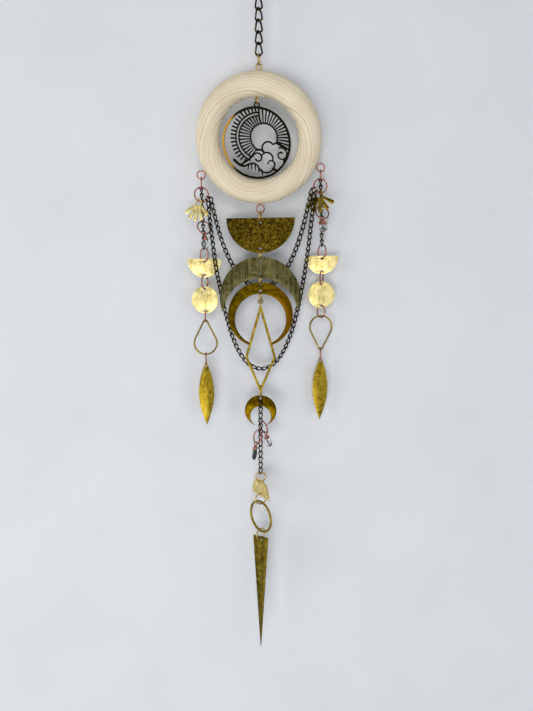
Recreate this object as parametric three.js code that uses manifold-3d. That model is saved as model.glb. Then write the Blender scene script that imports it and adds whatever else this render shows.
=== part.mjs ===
// A wall mobile: a turned wooden ring on a curb chain, with three strands of brass, bronze and copper
// pieces, wire-wrapped stones, a filigree charm in the ring and two chain swags between the strands.
// Millimetres, +Z up, the front faces -Y.  The origin is where a hook bears inside the hanging ring.
import * as THREE from 'three';
import { mergeVertices } from 'three/addons/utils/BufferGeometryUtils.js';
import Module from 'manifold-3d';

const wasm = await Module();
wasm.setup();

// ---- driving dimensions -------------------------------------------------------------------------
const GAP = 0.3;                 // air between linked pieces
const WIRE = 0.5;                // radius of all jump-ring and eye wire
const HOLE = 1.1;                // radius of a drilled hanging hole
const SHEET = 0.8;               // thickness of the stamped brass pieces
const GOLD_RING = 3.8;           // centre-line radius of the gold jump rings
const GOLD_RING_LARGE = 4.3;
const FORK_RING = 4.7;           // carries both the small crescent and the fine chain
const COPPER_RING = 5.1;         // centre-line radius of the copper jump rings
const COPPER_RING_MID = 4.6;
const COPPER_RING_SMALL = 4.2;

const HANGER = 7.0;              // centre-line radius of the hanging ring
const HANGER_WIRE = 0.9;
const HANGER_YAW = -20;
const TOP_LINKS = 7;             // heavy curb chain above the wooden ring
const TOP_YAW = 25;
const TOP_RING_YAW = 80;
const TOP_LINK = { length: 9.9, width: 6.0, wire: 1.3 };
const FINE_LINK = { length: 5.8, width: 3.5, wire: 0.76 };
const LEFT_LINKS = 10;
const RIGHT_LINKS = 11;
const CENTRE_LINKS = 14;

const WOOD_RADIUS = 37.2;        // centre line of the wooden ring
const WOOD_BAND = 8.5;           // half its radial width
const WOOD_DEPTH = 7.0;          // half its depth
const WOOD_YAW = 4;              // degrees, left side nearer
const EYE = 2.9;                 // centre-line radius of the copper screw eyes
const EYE_SMALL = 2.1;           // and of the gold ones
const SHANK = 7.0;               // length of an eye's shank in the wood
const PILOT = 0.95;              // radius of the pilot hole
const LEFT_EYE = 211.7;          // places of the eyes round the rim, degrees from the right
const RIGHT_EYE = -23.5;
const INNER_EYE = 93.5;

const CHARM_RADIUS = 25.1;
const CHARM_YAW = 9;
const CHARM_SHEET = 1.0;

const HALF_MOON_RADIUS = 25.6;
const BIG_CRESCENT = { outer: 30.6, inner: 28.6, drop: 13.8 };
const MID_CRESCENT = { outer: 24.6, inner: 19.4, drop: 3.5, mouth: 8.4 };
const KITE = { half: 11.8, up: 41.1, down: 27.9, bar: 1.9, depth: 1.2, loop: 1.6, lean: 2.4 };
const SMALL_CRESCENT = { outer: 12.2, inner: 8.05, drop: 4.5 };
const HALF_CIRCLE = { radius: 12.3, height: 13.5 };
const DISC_RADIUS = 10.1;
const HOOP = { radius: 12.05, wire: 0.95 };
const SPIKE = { width: 13.3, length: 95, tip: 0.5 };
const TEAR = { width: 18.4, length: 27.4, wire: 0.65, point: 1.3 };
const LEAF = { width: 11.8, length: 50.8 };
const FAN = { ray: 13.4, hub: 3.0, hole: 2.15, spread: 26.5, root: 1.5, end: 3.2, tilt: 9 };
const STONE = { loop: 1.5, wrap: 2.0, wrapLength: 2.6, depth: 0.3 };

const UPPER_SWAG_LOW = 106.8;    // how far the swags hang below the middle of the wooden ring
const LOWER_SWAG_LOW = 169.9;
const SWAG_RADIUS = 1.3;
const SWAG_BACK = 3.1;           // depth at which the swags pass behind the centre strand
const CHAIN_TURN = 35;           // where the side chains hook on the small rings, degrees from the lowest

const RAD = Math.PI / 180;

// ---- materials ----------------------------------------------------------------------------------
function coat(color, roughness, metalness) {
  return new THREE.MeshStandardMaterial({ color, roughness, metalness });
}

const WOOD = coat(0xcdbfa6, 0.55, 0);
const GOLD = coat(0xc9a24a, 0.3, 1);
const COPPER = coat(0x8a4a34, 0.3, 1);
const BRONZE = coat(0x4a3c22, 0.45, 1);
const AGED_BRASS = coat(0x6a5418, 0.45, 1);
const OLIVE = coat(0x565033, 0.4, 1);
const BRASS = coat(0xa88a3c, 0.35, 1);
const PALE_BRASS = coat(0xe0cb92, 0.35, 1);
const CRYSTAL = coat(0xbfd0cc, 0.1, 0);
const DARK_STONE = coat(0x1d2a26, 0.15, 0);

// ---- solids -------------------------------------------------------------------------------------
function clean(geometry) {
  geometry.deleteAttribute('normal');
  geometry.deleteAttribute('uv');
  let merged = mergeVertices(geometry, 1e-4);
  if (volume(merged) < 0) {
    merged = flipped(merged);
  }
  return merged;
}

function volume(geometry) {
  const p = geometry.attributes.position;
  const a = new THREE.Vector3();
  const b = new THREE.Vector3();
  const c = new THREE.Vector3();
  let sum = 0;
  for (let i = 0; i < geometry.index.count; i += 3) {
    a.fromBufferAttribute(p, geometry.index.getX(i));
    b.fromBufferAttribute(p, geometry.index.getX(i + 1));
    c.fromBufferAttribute(p, geometry.index.getX(i + 2));
    sum += a.dot(b.cross(c)) / 6;
  }
  return sum;
}

function flipped(geometry) {
  const index = Array.from(geometry.index.array);
  for (let i = 0; i < index.length; i += 3) {
    [index[i + 1], index[i + 2]] = [index[i + 2], index[i + 1]];
  }
  geometry.setIndex(index);
  return geometry;
}

function toManifold(geometry) {
  const merged = clean(geometry);
  const mesh = new wasm.Mesh({
    numProp: 3,
    vertProperties: Float32Array.from(merged.attributes.position.array),
    triVerts: Uint32Array.from(merged.index.array),
  });
  return new wasm.Manifold(mesh);
}

function fromManifold(solid) {
  const mesh = solid.getMesh();
  const geometry = new THREE.BufferGeometry();
  geometry.setAttribute('position', new THREE.BufferAttribute(Float32Array.from(mesh.vertProperties), 3));
  geometry.setIndex(Array.from(mesh.triVerts));
  return geometry;
}

function joined(geometries) {
  let solid = toManifold(geometries[0]);
  for (const geometry of geometries.slice(1)) {
    solid = solid.add(toManifold(geometry));
  }
  return fromManifold(solid.simplify(0.03));
}

function cut(geometry, tools) {
  let solid = toManifold(geometry);
  for (const tool of tools) {
    solid = solid.subtract(toManifold(tool));
  }
  return fromManifold(solid);
}

// A tube of round wire through points, each with its own sideways reference direction.
function wire(points, references, radius, sides, closed) {
  const count = points.length;
  const positions = [];
  const index = [];
  for (let i = 0; i < count; i += 1) {
    const before = points[closed ? (i + count - 1) % count : Math.max(i - 1, 0)];
    const after = points[closed ? (i + 1) % count : Math.min(i + 1, count - 1)];
    const along = after.clone().sub(before).normalize();
    const u = references[i].clone().addScaledVector(along, -references[i].dot(along)).normalize();
    const v = along.clone().cross(u);
    for (let k = 0; k < sides; k += 1) {
      const turn = (2 * Math.PI * k) / sides;
      const p = points[i].clone();
      p.addScaledVector(u, radius * Math.cos(turn));
      p.addScaledVector(v, radius * Math.sin(turn));
      positions.push(p.x, p.y, p.z);
    }
  }
  const spans = closed ? count : count - 1;
  for (let i = 0; i < spans; i += 1) {
    const j = (i + 1) % count;
    for (let k = 0; k < sides; k += 1) {
      const next = (k + 1) % sides;
      index.push(i * sides + k, i * sides + next, j * sides + next);
      index.push(i * sides + k, j * sides + next, j * sides + k);
    }
  }
  if (!closed) {
    for (let k = 1; k < sides - 1; k += 1) {
      index.push(0, k + 1, k);
      const last = (count - 1) * sides;
      index.push(last, last + k, last + k + 1);
    }
  }
  const geometry = new THREE.BufferGeometry();
  geometry.setAttribute('position', new THREE.BufferAttribute(new Float32Array(positions), 3));
  geometry.setIndex(index);
  return geometry;
}

// A ring of wire standing in the XZ plane.
function ringSolid(radius, thickness, segments = 12, sides = 4) {
  return new THREE.TorusGeometry(radius, thickness, sides, segments).rotateX(Math.PI / 2);
}

// Sheet metal: an outline drawn in X and Z, centred on Y = 0.
function plate(shape, thickness, segments = 5) {
  const options = { depth: thickness, bevelEnabled: false, curveSegments: segments };
  const geometry = new THREE.ExtrudeGeometry(shape, options);
  return geometry.rotateX(Math.PI / 2).translate(0, thickness / 2, 0);
}

function drill(shape, x, z, radius = HOLE) {
  shape.holes.push(new THREE.Path().absarc(x, z, radius, 0, 2 * Math.PI, true));
}

function arcPoints(x, z, radius, from, to, steps) {
  return Array.from({ length: steps + 1 }, (_, i) => {
    const turn = (from + ((to - from) * i) / steps) * RAD;
    return new THREE.Vector2(x + radius * Math.cos(turn), z + radius * Math.sin(turn));
  });
}

// ---- linked pieces ------------------------------------------------------------------------------
// Each piece is drawn about its own origin and knows two bearing heights: `top`, which rests on what
// carries it, and `bottom`, on which the next piece rests.
function jumpRing(radius) {
  return { geometry: ringSolid(radius, WIRE), top: radius - WIRE, bottom: WIRE - radius };
}

function linkPath(link, segments, yaw, hand) {
  const bend = (link.width - link.wire) / 2;
  const reach = (link.length - link.wire) / 2;
  const straight = reach - bend;
  return Array.from({ length: segments }, (_, i) => {
    const turn = (2 * Math.PI * (i + 0.5)) / segments;
    const x = bend * Math.cos(turn);
    const z = bend * Math.sin(turn) + Math.sign(Math.sin(turn)) * straight;
    const twist = (yaw + (hand * 45 * z) / reach) * RAD;
    return new THREE.Vector3(x * Math.cos(twist), x * Math.sin(twist), z);
  });
}

// A curb chain: every link is twisted a quarter turn, so all lie the same way and each hooks the next.
// `hand` is 1 or -1, the way it is twisted.
function curbChain(link, count, yaw, hand, segments, sides) {
  const pitch = link.length - 2 * link.wire + 0.16 * link.wire;
  const links = [];
  for (let n = 0; n < count; n += 1) {
    const path = linkPath(link, segments, yaw, hand);
    const references = path.map((p) => p.clone());
    links.push(wire(path, references, link.wire / 2, sides, true).translate(0, 0, -n * pitch));
  }
  const inside = link.length / 2 - link.wire;
  return { geometry: joined(links), top: inside, bottom: -(count - 1) * pitch - inside, pitch };
}

function disc() {
  const shape = new THREE.Shape(arcPoints(0, 0, DISC_RADIUS, 0, 345, 23));
  const hole = DISC_RADIUS - 2.1;
  drill(shape, 0, hole);
  drill(shape, 0, -hole);
  return { geometry: plate(shape, SHEET), top: hole + HOLE, bottom: -hole - HOLE };
}

// A half circle whose straight edge is up for flat = 1 and down for flat = -1.
function halfCircle(radius, height, inset, flat, thickness = SHEET) {
  const rise = height - radius;
  const start = Math.asin(rise / radius) / RAD;
  const shape = new THREE.Shape(arcPoints(0, 0, radius, 180 - start, 360 + start, 16));
  const high = rise - inset;
  const low = -radius + inset;
  drill(shape, 0, high);
  drill(shape, 0, low);
  const geometry = plate(shape, thickness);
  if (flat < 0) {
    geometry.rotateY(Math.PI);
    return { geometry, top: -low + HOLE, bottom: -high - HOLE };
  }
  return { geometry, top: high + HOLE, bottom: low - HOLE };
}

// A crescent opening downwards: an outer circle less an inner one set lower.
function crescent({ outer, inner, drop, mouth }, inset, lower, thickness = SHEET) {
  const tip = (drop * drop + outer * outer - inner * inner) / (2 * drop);
  let outerEnd = Math.acos(Math.min(tip / outer, 1));
  let innerEnd = Math.atan2(outer * Math.sin(outerEnd), drop - outer * Math.cos(outerEnd));
  if (mouth) {
    outerEnd = Math.asin(mouth / outer);
    innerEnd = Math.PI - Math.asin(mouth / inner);
  }
  const lap = (outerEnd / RAD) - 90;
  const back = 90 - innerEnd / RAD;
  const shape = new THREE.Shape([
    ...arcPoints(0, 0, outer, lap, 180 - lap, 24),
    ...arcPoints(0, -drop, inner, 180 - back, back, 20).slice(mouth ? 0 : 1, mouth ? undefined : -1),
  ]);
  drill(shape, 0, outer - inset);
  const low = inner - drop + lower;
  if (lower > 0) {
    drill(shape, 0, low);
  }
  return { geometry: plate(shape, thickness), top: outer - inset + HOLE, bottom: low - HOLE };
}

function kite() {
  const { half, up, down, bar, depth, loop, lean } = KITE;
  const shape = new THREE.Shape();
  shape.moveTo(0, up);
  shape.lineTo(-half, 0);
  shape.lineTo(0, -down);
  shape.lineTo(half, 0);
  const side = bar / Math.sin(Math.atan2(up, half));
  const apex = bar / Math.sin(Math.atan2(half, up));
  const foot = bar / Math.sin(Math.atan2(half, down));
  shape.holes.push(new THREE.Path([
    new THREE.Vector2(0, up - apex),
    new THREE.Vector2(half - side, 0),
    new THREE.Vector2(0, foot - down),
    new THREE.Vector2(side - half, 0),
  ]));
  const loopZ = up + loop - 0.5;
  const eye = ringSolid(loop, WIRE).translate(0, 0, loopZ);
  const nest = WIRE / Math.sin(Math.atan2(half, down)) - WIRE;
  const top = loopZ + loop - WIRE;
  const bottom = foot - down + nest;
  // It leans forwards over the ends of the crescent above, turning about its loop.
  const leaning = joined([plate(shape, depth), eye]).translate(0, 0, -top).rotateX(-lean * RAD);
  const forward = (top - bottom) * Math.sin(lean * RAD);
  return { geometry: leaning.translate(0, 0, top), top, bottom, forward };
}

// A teardrop hoop with its point up: two straight sides, tangent to a round foot and a tight point.
function tearHoop() {
  const { width, length, wire: thick, point } = TEAR;
  const bend = width / 2 - thick;
  const rise = length - 2 * thick - bend - point;
  const lean = Math.asin((bend - point) / rise) / RAD;
  const path = [
    ...arcPoints(0, 0, bend, 180 - lean, 360 + lean, 16),
    ...arcPoints(0, rise, point, lean, 180 - lean, 5),
  ];
  const points = path.map((p) => new THREE.Vector3(p.x, 0, p.y));
  const references = points.map(() => new THREE.Vector3(0, 1, 0));
  return {
    geometry: wire(points, references, thick, 5, true),
    top: rise + point - thick,
    bottom: thick - bend,
  };
}

function turnedOver(piece) {
  return { geometry: piece.geometry.rotateY(Math.PI), top: -piece.bottom, bottom: -piece.top };
}

function leaf() {
  const { width, length } = LEAF;
  const steps = 9;
  const side = (sign) => Array.from({ length: steps }, (_, i) => {
    const t = (i + 1) / (steps + 1);
    const across = (width / 2) * Math.pow(Math.sin(Math.PI * t), 0.95);
    return new THREE.Vector2(sign * across, length * (0.5 - t));
  });
  const tip = new THREE.Vector2(0, length / 2);
  const foot = new THREE.Vector2(0, -length / 2);
  const shape = new THREE.Shape([tip, ...side(-1), foot, ...side(1).reverse()]);
  const hole = length / 2 - 4.2;
  drill(shape, 0, hole, 0.95);
  return { geometry: plate(shape, SHEET, 6), top: hole + 0.95, bottom: 0 };
}

function spike() {
  const { width, length, tip } = SPIKE;
  const shape = new THREE.Shape();
  shape.moveTo(-width / 2, 0);
  shape.lineTo(-tip / 2, -length);
  shape.lineTo(tip / 2, -length);
  shape.lineTo(width / 2, 0);
  drill(shape, 0, -2.4);
  return { geometry: plate(shape, SHEET, 6), top: HOLE - 2.4, bottom: 0 };
}

// A fan of five flat rays from a pierced hub.
function fan(roll) {
  const { ray, hub, hole, spread, root, end, tilt } = FAN;
  const blades = [-2, -1, 0, 1, 2].map((n) => {
    const blade = new THREE.Shape();
    blade.moveTo(-root / 2, -hub * 0.8);
    blade.lineTo(-end / 2, 0.5 - ray);
    blade.lineTo(0, -ray);
    blade.lineTo(end / 2, 0.5 - ray);
    blade.lineTo(root / 2, -hub * 0.8);
    return plate(blade, SHEET).rotateY((-n * spread + roll) * RAD);
  });
  const boss = new THREE.Shape().absarc(0, 0, hub, 0, 2 * Math.PI);
  drill(boss, 0, 0, hole);
  const flat = joined([plate(boss, SHEET, 8), ...blades]);
  return { geometry: flat.translate(0, 0, -hole).rotateX(-tilt * RAD), top: 0, bottom: 0 };
}

// A wire-wrapped stone: a loop, a coil and the drilled stone under it, joined where they touch.
function stoneDrop(wide, tall, uneven) {
  const { loop, wrap, wrapLength, depth } = STONE;
  const coilTop = 0.35 - loop;
  const coil = new THREE.CylinderGeometry(wrap * 0.55, wrap, wrapLength, 8).rotateX(Math.PI / 2);
  coil.translate(0, 0, coilTop - wrapLength / 2);
  const stone = new THREE.IcosahedronGeometry(1, 1);
  const p = stone.attributes.position;
  for (let i = 0; i < p.count; i += 1) {
    const lump = 1 + uneven * Math.sin(3 * p.getX(i) + 2 * p.getZ(i)) * Math.cos(2.5 * p.getY(i));
    const [x, y, z] = [p.getX(i) * wide * depth, (p.getY(i) * wide) / 2, (p.getZ(i) * tall) / 2];
    p.setXYZ(i, x * lump, y * lump, z * lump);
  }
  stone.translate(0, 0, coilTop - wrapLength - tall / 2 + 0.8);
  return {
    geometry: joined([ringSolid(loop, 0.4, 10, 4), coil, stone]),
    top: loop - 0.4,
    bottom: 0,
  };
}

// ---- placing ------------------------------------------------------------------------------------
const mobile = new THREE.Group();
mobile.name = 'hanging_mobile';

function place(name, geometry, material, position, yaw = 0) {
  const mesh = new THREE.Mesh(clean(geometry), material);
  mesh.name = name;
  mesh.position.copy(position);
  mesh.rotation.z = yaw * RAD;
  mobile.add(mesh);
  return mesh;
}

// Hangs pieces one under another down a plumb line; `bearing` is the height the next one rests on.
class Strand {
  constructor(x, y, bearing) {
    this.x = x;
    this.y = y;
    this.bearing = bearing;
  }

  hang(name, piece, material, yaw) {
    const z = this.bearing + GAP - piece.top;
    place(name, piece.geometry, material, new THREE.Vector3(this.x, this.y, z), yaw);
    this.bearing = z + piece.bottom;
    return z;
  }
}

// ---- wooden ring and its screw eyes, about the middle of the ring ---------------------------------
const outerRim = WOOD_RADIUS + WOOD_BAND;
const innerRim = WOOD_RADIUS - WOOD_BAND;

function woodProfile() {
  const steps = 12;
  const points = Array.from({ length: steps + 1 }, (_, i) => {
    const turn = (2 * Math.PI * (i % steps)) / steps;
    const soft = (value) => Math.sign(value) * Math.pow(Math.abs(value), 0.86);
    return new THREE.Vector2(
      WOOD_RADIUS + WOOD_BAND * soft(Math.cos(turn)),
      WOOD_DEPTH * soft(Math.sin(turn)),
    );
  });
  return points;
}

// An eye's middle, standing off the rim at a place round it; side is 1 outside and -1 in the hole.
function eyePlace(degrees, radius, side) {
  const rim = side > 0 ? outerRim : innerRim;
  const reach = rim + side * (radius + WIRE + GAP);
  return new THREE.Vector3(reach * Math.cos(degrees * RAD), 0, reach * Math.sin(degrees * RAD));
}

// `turn` is how far the loop is screwed round about its shank.
function screwEye(radius, degrees, side, turn = 0) {
  const shank = new THREE.CylinderGeometry(0.6, 0.45, SHANK + GAP + 0.4, 6).rotateX(-Math.PI / 2);
  shank.translate(0, 0, -radius - 0.2 - (SHANK + GAP) / 2);
  const eye = joined([ringSolid(radius, WIRE).rotateZ(turn * RAD), shank]);
  return eye.rotateY((90 - degrees + (side > 0 ? 0 : 180)) * RAD);
}

function pilotHole(degrees, side) {
  const rim = side > 0 ? outerRim : innerRim;
  const bore = new THREE.CylinderGeometry(PILOT, PILOT, SHANK + 3, 8).rotateX(Math.PI / 2);
  bore.translate(0, 0, rim - side * (SHANK - 1) / 2);
  return bore.rotateY((90 - degrees) * RAD);
}

const eyes = [
  { name: 'top_screw_eye', at: 90, radius: EYE_SMALL, side: 1, metal: GOLD },
  { name: 'charm_screw_eye', at: INNER_EYE, radius: EYE_SMALL, side: -1, metal: GOLD, turn: 72 },
  { name: 'left_screw_eye', at: LEFT_EYE, radius: EYE, side: 1, metal: COPPER },
  { name: 'right_screw_eye', at: RIGHT_EYE, radius: EYE, side: 1, metal: COPPER },
  { name: 'bottom_screw_eye', at: -89, radius: EYE, side: 1, metal: COPPER },
];
const woodBlank = new THREE.LatheGeometry(woodProfile(), 36);
const pilots = eyes.map((e) => pilotHole(e.at, e.side));
place('wooden_ring', cut(woodBlank, pilots), WOOD, new THREE.Vector3(), WOOD_YAW);
const eyeAt = {};
for (const e of eyes) {
  const local = eyePlace(e.at, e.radius, e.side);
  eyeAt[e.name] = local.applyAxisAngle(new THREE.Vector3(0, 0, 1), WOOD_YAW * RAD);
  place(e.name, screwEye(e.radius, e.at, e.side, e.turn), e.metal, eyeAt[e.name], WOOD_YAW);
}

function strandFrom(name, radius) {
  const p = eyeAt[name];
  return new Strand(p.x, p.y, p.z - radius + WIRE);
}

// ---- chain above the ring, built upwards ----------------------------------------------------------
const topChain = curbChain(TOP_LINK, TOP_LINKS, TOP_YAW, 1, 10, 4);
const eyeTop = eyeAt.top_screw_eye;
const joinWidth = GOLD_RING - WIRE;
const chainEndZ = eyeTop.z + EYE_SMALL - WIRE - GAP + 2 * joinWidth;
const chainZ = chainEndZ + 0.06 - topChain.bottom;
// The gold jump ring is the chain's last link and bears on the link above it.
const topRing = ringSolid(GOLD_RING, WIRE).rotateZ(TOP_RING_YAW * RAD);
topRing.translate(0, 0, chainEndZ - joinWidth - chainZ);
const topPlace = new THREE.Vector3(eyeTop.x, eyeTop.y, chainZ);
place('top_chain', joined([topChain.geometry, topRing]), BRONZE, topPlace);
const hangerBottom = chainZ + topChain.top - GAP;
const hangerZ = hangerBottom + HANGER - HANGER_WIRE;
const hangerPlace = new THREE.Vector3(eyeTop.x, eyeTop.y, hangerZ);
place('hanging_ring', ringSolid(HANGER, HANGER_WIRE, 22, 6), BRONZE, hangerPlace, HANGER_YAW);
const hookZ = hangerZ + HANGER - HANGER_WIRE;

// ---- charm ----------------------------------------------------------------------------------------
// Drawn on a unit circle, u right and v up: sun and rays, a crescent with teeth, and rolling cloud.
const SUN = { x: 0.205, y: 0.159, r: 0.388 };
const MOON_IN = { x: 0.07, y: 0.155, r: 0.59 };
const MOON_OUT = { x: 0.085, y: 0.145, r: 0.69 };

function stroke(points, width, widthEnd = width) {
  const left = [];
  const right = [];
  points.forEach((p, i) => {
    const a = points[Math.max(i - 1, 0)];
    const b = points[Math.min(i + 1, points.length - 1)];
    const along = b.clone().sub(a).normalize();
    const half = (width + ((widthEnd - width) * i) / (points.length - 1)) / 2;
    const off = new THREE.Vector2(-along.y, along.x).multiplyScalar(half);
    left.push(p.clone().add(off));
    right.push(p.clone().sub(off));
  });
  const outline = [...right, ...left.reverse()].map((p) => p.multiplyScalar(CHARM_RADIUS));
  return plate(new THREE.Shape(outline), CHARM_SHEET);
}

function hoopStroke(x, y, r, width, segments) {
  const [u, v] = [x * CHARM_RADIUS, y * CHARM_RADIUS];
  const shape = new THREE.Shape().absarc(u, v, (r + width / 2) * CHARM_RADIUS, 0, 2 * Math.PI);
  drill(shape, u, v, (r - width / 2) * CHARM_RADIUS);
  return plate(shape, CHARM_SHEET, segments);
}

function line(...pairs) {
  return pairs.map(([u, v]) => new THREE.Vector2(u, v));
}

function curl(x, y, from, to, r0, r1, steps) {
  return Array.from({ length: steps + 1 }, (_, i) => {
    const t = i / steps;
    const turn = (from + (to - from) * t) * RAD;
    const r = r0 + (r1 - r0) * t;
    return new THREE.Vector2(x + r * Math.cos(turn), y + r * Math.sin(turn));
  });
}

// Distance from a point inside a circle to the circle, along a direction.
function reachTo(circle, x, y, turn) {
  const dx = x - circle.x;
  const dy = y - circle.y;
  const along = dx * Math.cos(turn) + dy * Math.sin(turn);
  return -along + Math.sqrt(along * along - dx * dx - dy * dy + circle.r * circle.r);
}

// A straight line outwards from a circle's rim.
function spoke(circle, to, turn) {
  const point = (r) => [circle.x + r * Math.cos(turn), circle.y + r * Math.sin(turn)];
  return line(point(circle.r), point(to));
}

function skyStrokes(thin, rim) {
  const parts = [stroke(arcPoints(SUN.x, SUN.y, SUN.r, -22, 248, 9), thin)];
  parts.push(stroke(line([0.055, 0.96], [0.07, 0.72], [0.12, 0.53]), 0.05));
  for (let n = 0; n < 15; n += 1) {
    const turn = (93 - n * 8.3) * RAD;
    parts.push(stroke(spoke(SUN, reachTo(rim, SUN.x, SUN.y, turn), turn), 0.03, 0.05));
  }
  for (let n = 0; n < 16; n += 1) {
    const turn = (113 + n * 8.2) * RAD;
    parts.push(stroke(spoke(SUN, reachTo(MOON_IN, SUN.x, SUN.y, turn), turn), 0.026, 0.046));
  }
  parts.push(stroke(arcPoints(MOON_IN.x, MOON_IN.y, MOON_IN.r, 92, 245, 9), thin));
  parts.push(stroke(arcPoints(MOON_OUT.x, MOON_OUT.y, MOON_OUT.r, 94, 246, 9), thin));
  for (let n = 0; n < 19; n += 1) {
    const turn = (99 + n * 7.6) * RAD;
    const far = reachTo(rim, MOON_OUT.x, MOON_OUT.y, turn);
    const end = n < 5 ? far : Math.min(MOON_OUT.r + 0.14, far);
    parts.push(stroke(spoke(MOON_OUT, end, turn), 0.04, 0.05));
  }
  return parts;
}

function cloudStrokes() {
  const tail = new THREE.SplineCurve(
    line([0.03, -0.63], [-0.1, -0.565], [-0.24, -0.6], [-0.38, -0.65], [-0.52, -0.6], [-0.66, -0.49]),
  );
  const parts = [
    stroke(curl(0.335, -0.125, 215, 40, 0.185, 0.165, 5), 0.05),
    stroke(curl(0.6, -0.12, 140, 65, 0.15, 0.13, 4), 0.045),
    stroke(line([0.64, 0], [0.8, -0.07], [0.96, -0.17]), 0.04),
    stroke(line([-0.04, -0.21], [0.08, -0.18], [0.2, -0.23]), 0.05),
    stroke(curl(0.72, -0.3, 60, 470, 0.05, 0.2, 11), 0.042),
    stroke(line([0.78, -0.48], [0.88, -0.42]), 0.042),
    stroke(curl(0.03, -0.41, 165, -150, 0.15, 0.075, 8), 0.045),
    stroke(line([-0.45, -0.6], [-0.27, -0.49], [-0.1, -0.34]), 0.05),
    stroke(line([-0.2, -0.41], [-0.14, -0.38], [-0.09, -0.33]), 0.05),
    stroke(curl(0.3, -0.43, 150, -10, 0.18, 0.17, 5), 0.045),
    stroke(curl(0.41, -0.58, 175, 0, 0.09, 0.115, 5), 0.042),
    stroke(curl(0.275, -0.56, 5, -165, 0.25, 0.26, 6), 0.05),
    stroke(tail.getPoints(8), 0.04, 0.08),
    stroke(line([0.47, -0.7], [0.62, -0.76]), 0.07),
  ];
  for (let n = 0; n < 5; n += 1) {
    const x = -0.24 + n * 0.095;
    const top = -0.585 - 0.035 * Math.max(n - 1, 0) * (n - 1) * 0.5;
    parts.push(stroke(line([x, top], [x - 0.02 + n * 0.012, top - 0.15]), 0.045, 0.03));
  }
  return parts;
}

function charm() {
  const band = 0.06;
  const rim = { x: 0, y: 0, r: 1 - band / 2 };
  const loop = 1.75;
  const z = CHARM_RADIUS + loop - 0.5;
  const strokes = [...skyStrokes(0.042, rim), ...cloudStrokes()];
  const parts = [hoopStroke(0, 0, rim.r, band, 16), ...strokes, ringSolid(loop, WIRE).translate(0, 0, z)];
  return { geometry: joined(parts), top: z + loop - WIRE, bottom: 0 };
}

strandFrom('charm_screw_eye', EYE_SMALL).hang('sun_charm', charm(), BRONZE, CHARM_YAW);

// ---- centre strand --------------------------------------------------------------------------------
const centre = strandFrom('bottom_screw_eye', EYE);
centre.y = 0;
centre.hang('centre_ring_1', jumpRing(GOLD_RING), GOLD, 84);
centre.hang('large_half_moon', halfCircle(HALF_MOON_RADIUS, HALF_MOON_RADIUS, 3.0, 1), AGED_BRASS, -8);
centre.hang('centre_ring_2', jumpRing(GOLD_RING), GOLD, 80);
centre.hang('big_crescent', crescent(BIG_CRESCENT, 2.6, 2.8), OLIVE, 0);
centre.hang('centre_ring_3', jumpRing(GOLD_RING), GOLD, 82);
centre.hang('mid_crescent', crescent(MID_CRESCENT, 2.3, 2.0), AGED_BRASS, 0);
centre.hang('centre_ring_4', jumpRing(GOLD_RING), GOLD, 80);
const frame = kite();
centre.hang('kite', frame, BRASS, 0);
centre.y -= frame.forward;
const forkZ = centre.hang('centre_ring_5', jumpRing(FORK_RING), GOLD, 84);
centre.hang('small_crescent', crescent(SMALL_CRESCENT, 2.2, 0), AGED_BRASS, -4);

// The fine chain hooks on the same ring just in front of the small crescent.
const chainFront = 2.6;
const slope = Math.sqrt(FORK_RING ** 2 - chainFront ** 2);
const lower = new Strand(centre.x, centre.y - chainFront, forkZ - slope + WIRE + 0.2);
const fineYaw = 33;
const fineChain = curbChain(FINE_LINK, CENTRE_LINKS, fineYaw, -1, 8, 4);
const fineZ = lower.hang('centre_chain', fineChain, BRONZE, 0);

// A ring hooked through the middle of a chain link, and the stone that hangs from the ring's lowest
// point.  `roll` is how far round from its top the ring is hooked, `tilt` how far it leans out, and
// `lean` how far the stone is pushed aside by the chain it rests on.
function drop(prefix, link, pose, radius, stone, material) {
  const { yaw, roll, tilt, lean } = pose;
  const toWorld = new THREE.Matrix4().makeRotationZ(yaw * RAD);
  toWorld.multiply(new THREE.Matrix4().makeRotationX(-tilt * RAD));
  const middle = new THREE.Vector3(radius * Math.sin(roll * RAD), 0, -radius * Math.cos(roll * RAD));
  const ring = ringSolid(radius, WIRE).translate(middle.x, 0, middle.z).applyMatrix4(toWorld);
  place(`${prefix}_ring`, ring, COPPER, link);
  const low = middle.clone().setZ(middle.z - radius).applyMatrix4(toWorld).add(link);
  const hung = stone.geometry.translate(0, 0, -stone.top).rotateZ((yaw + 90) * RAD).rotateY(-lean * RAD);
  place(`${prefix}_drop`, hung, material, low.setZ(low.z + WIRE + GAP));
}

const fineLink = (n) => new THREE.Vector3(lower.x, lower.y, fineZ - n * fineChain.pitch);
const crystalPose = { yaw: fineYaw - 90, roll: 32, tilt: -15, lean: 18 };
const darkPose = { yaw: fineYaw - 90, roll: -32, tilt: 15, lean: -8 };
drop('crystal', fineLink(4), crystalPose, COPPER_RING, stoneDrop(7.6, 8.4, 0.16), CRYSTAL);
drop('dark_stone', fineLink(6), darkPose, COPPER_RING, stoneDrop(5.4, 10.4, 0.12), DARK_STONE);

lower.hang('centre_ring_6', jumpRing(GOLD_RING), GOLD, 12);
lower.hang('small_half_circle', halfCircle(HALF_CIRCLE.radius, HALF_CIRCLE.height, 2.1, -1), BRASS, -58);
lower.hang('centre_ring_7', jumpRing(GOLD_RING_LARGE), GOLD, 20);
const hoopInside = HOOP.radius - HOOP.wire;
const hoop = { geometry: ringSolid(HOOP.radius, HOOP.wire, 26, 6), top: hoopInside, bottom: -hoopInside };
lower.hang('round_hoop', hoop, BRASS, -49);
lower.hang('centre_ring_8', jumpRing(GOLD_RING_LARGE), GOLD, 45);
lower.hang('long_spike', spike(), BRASS, -26);

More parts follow.
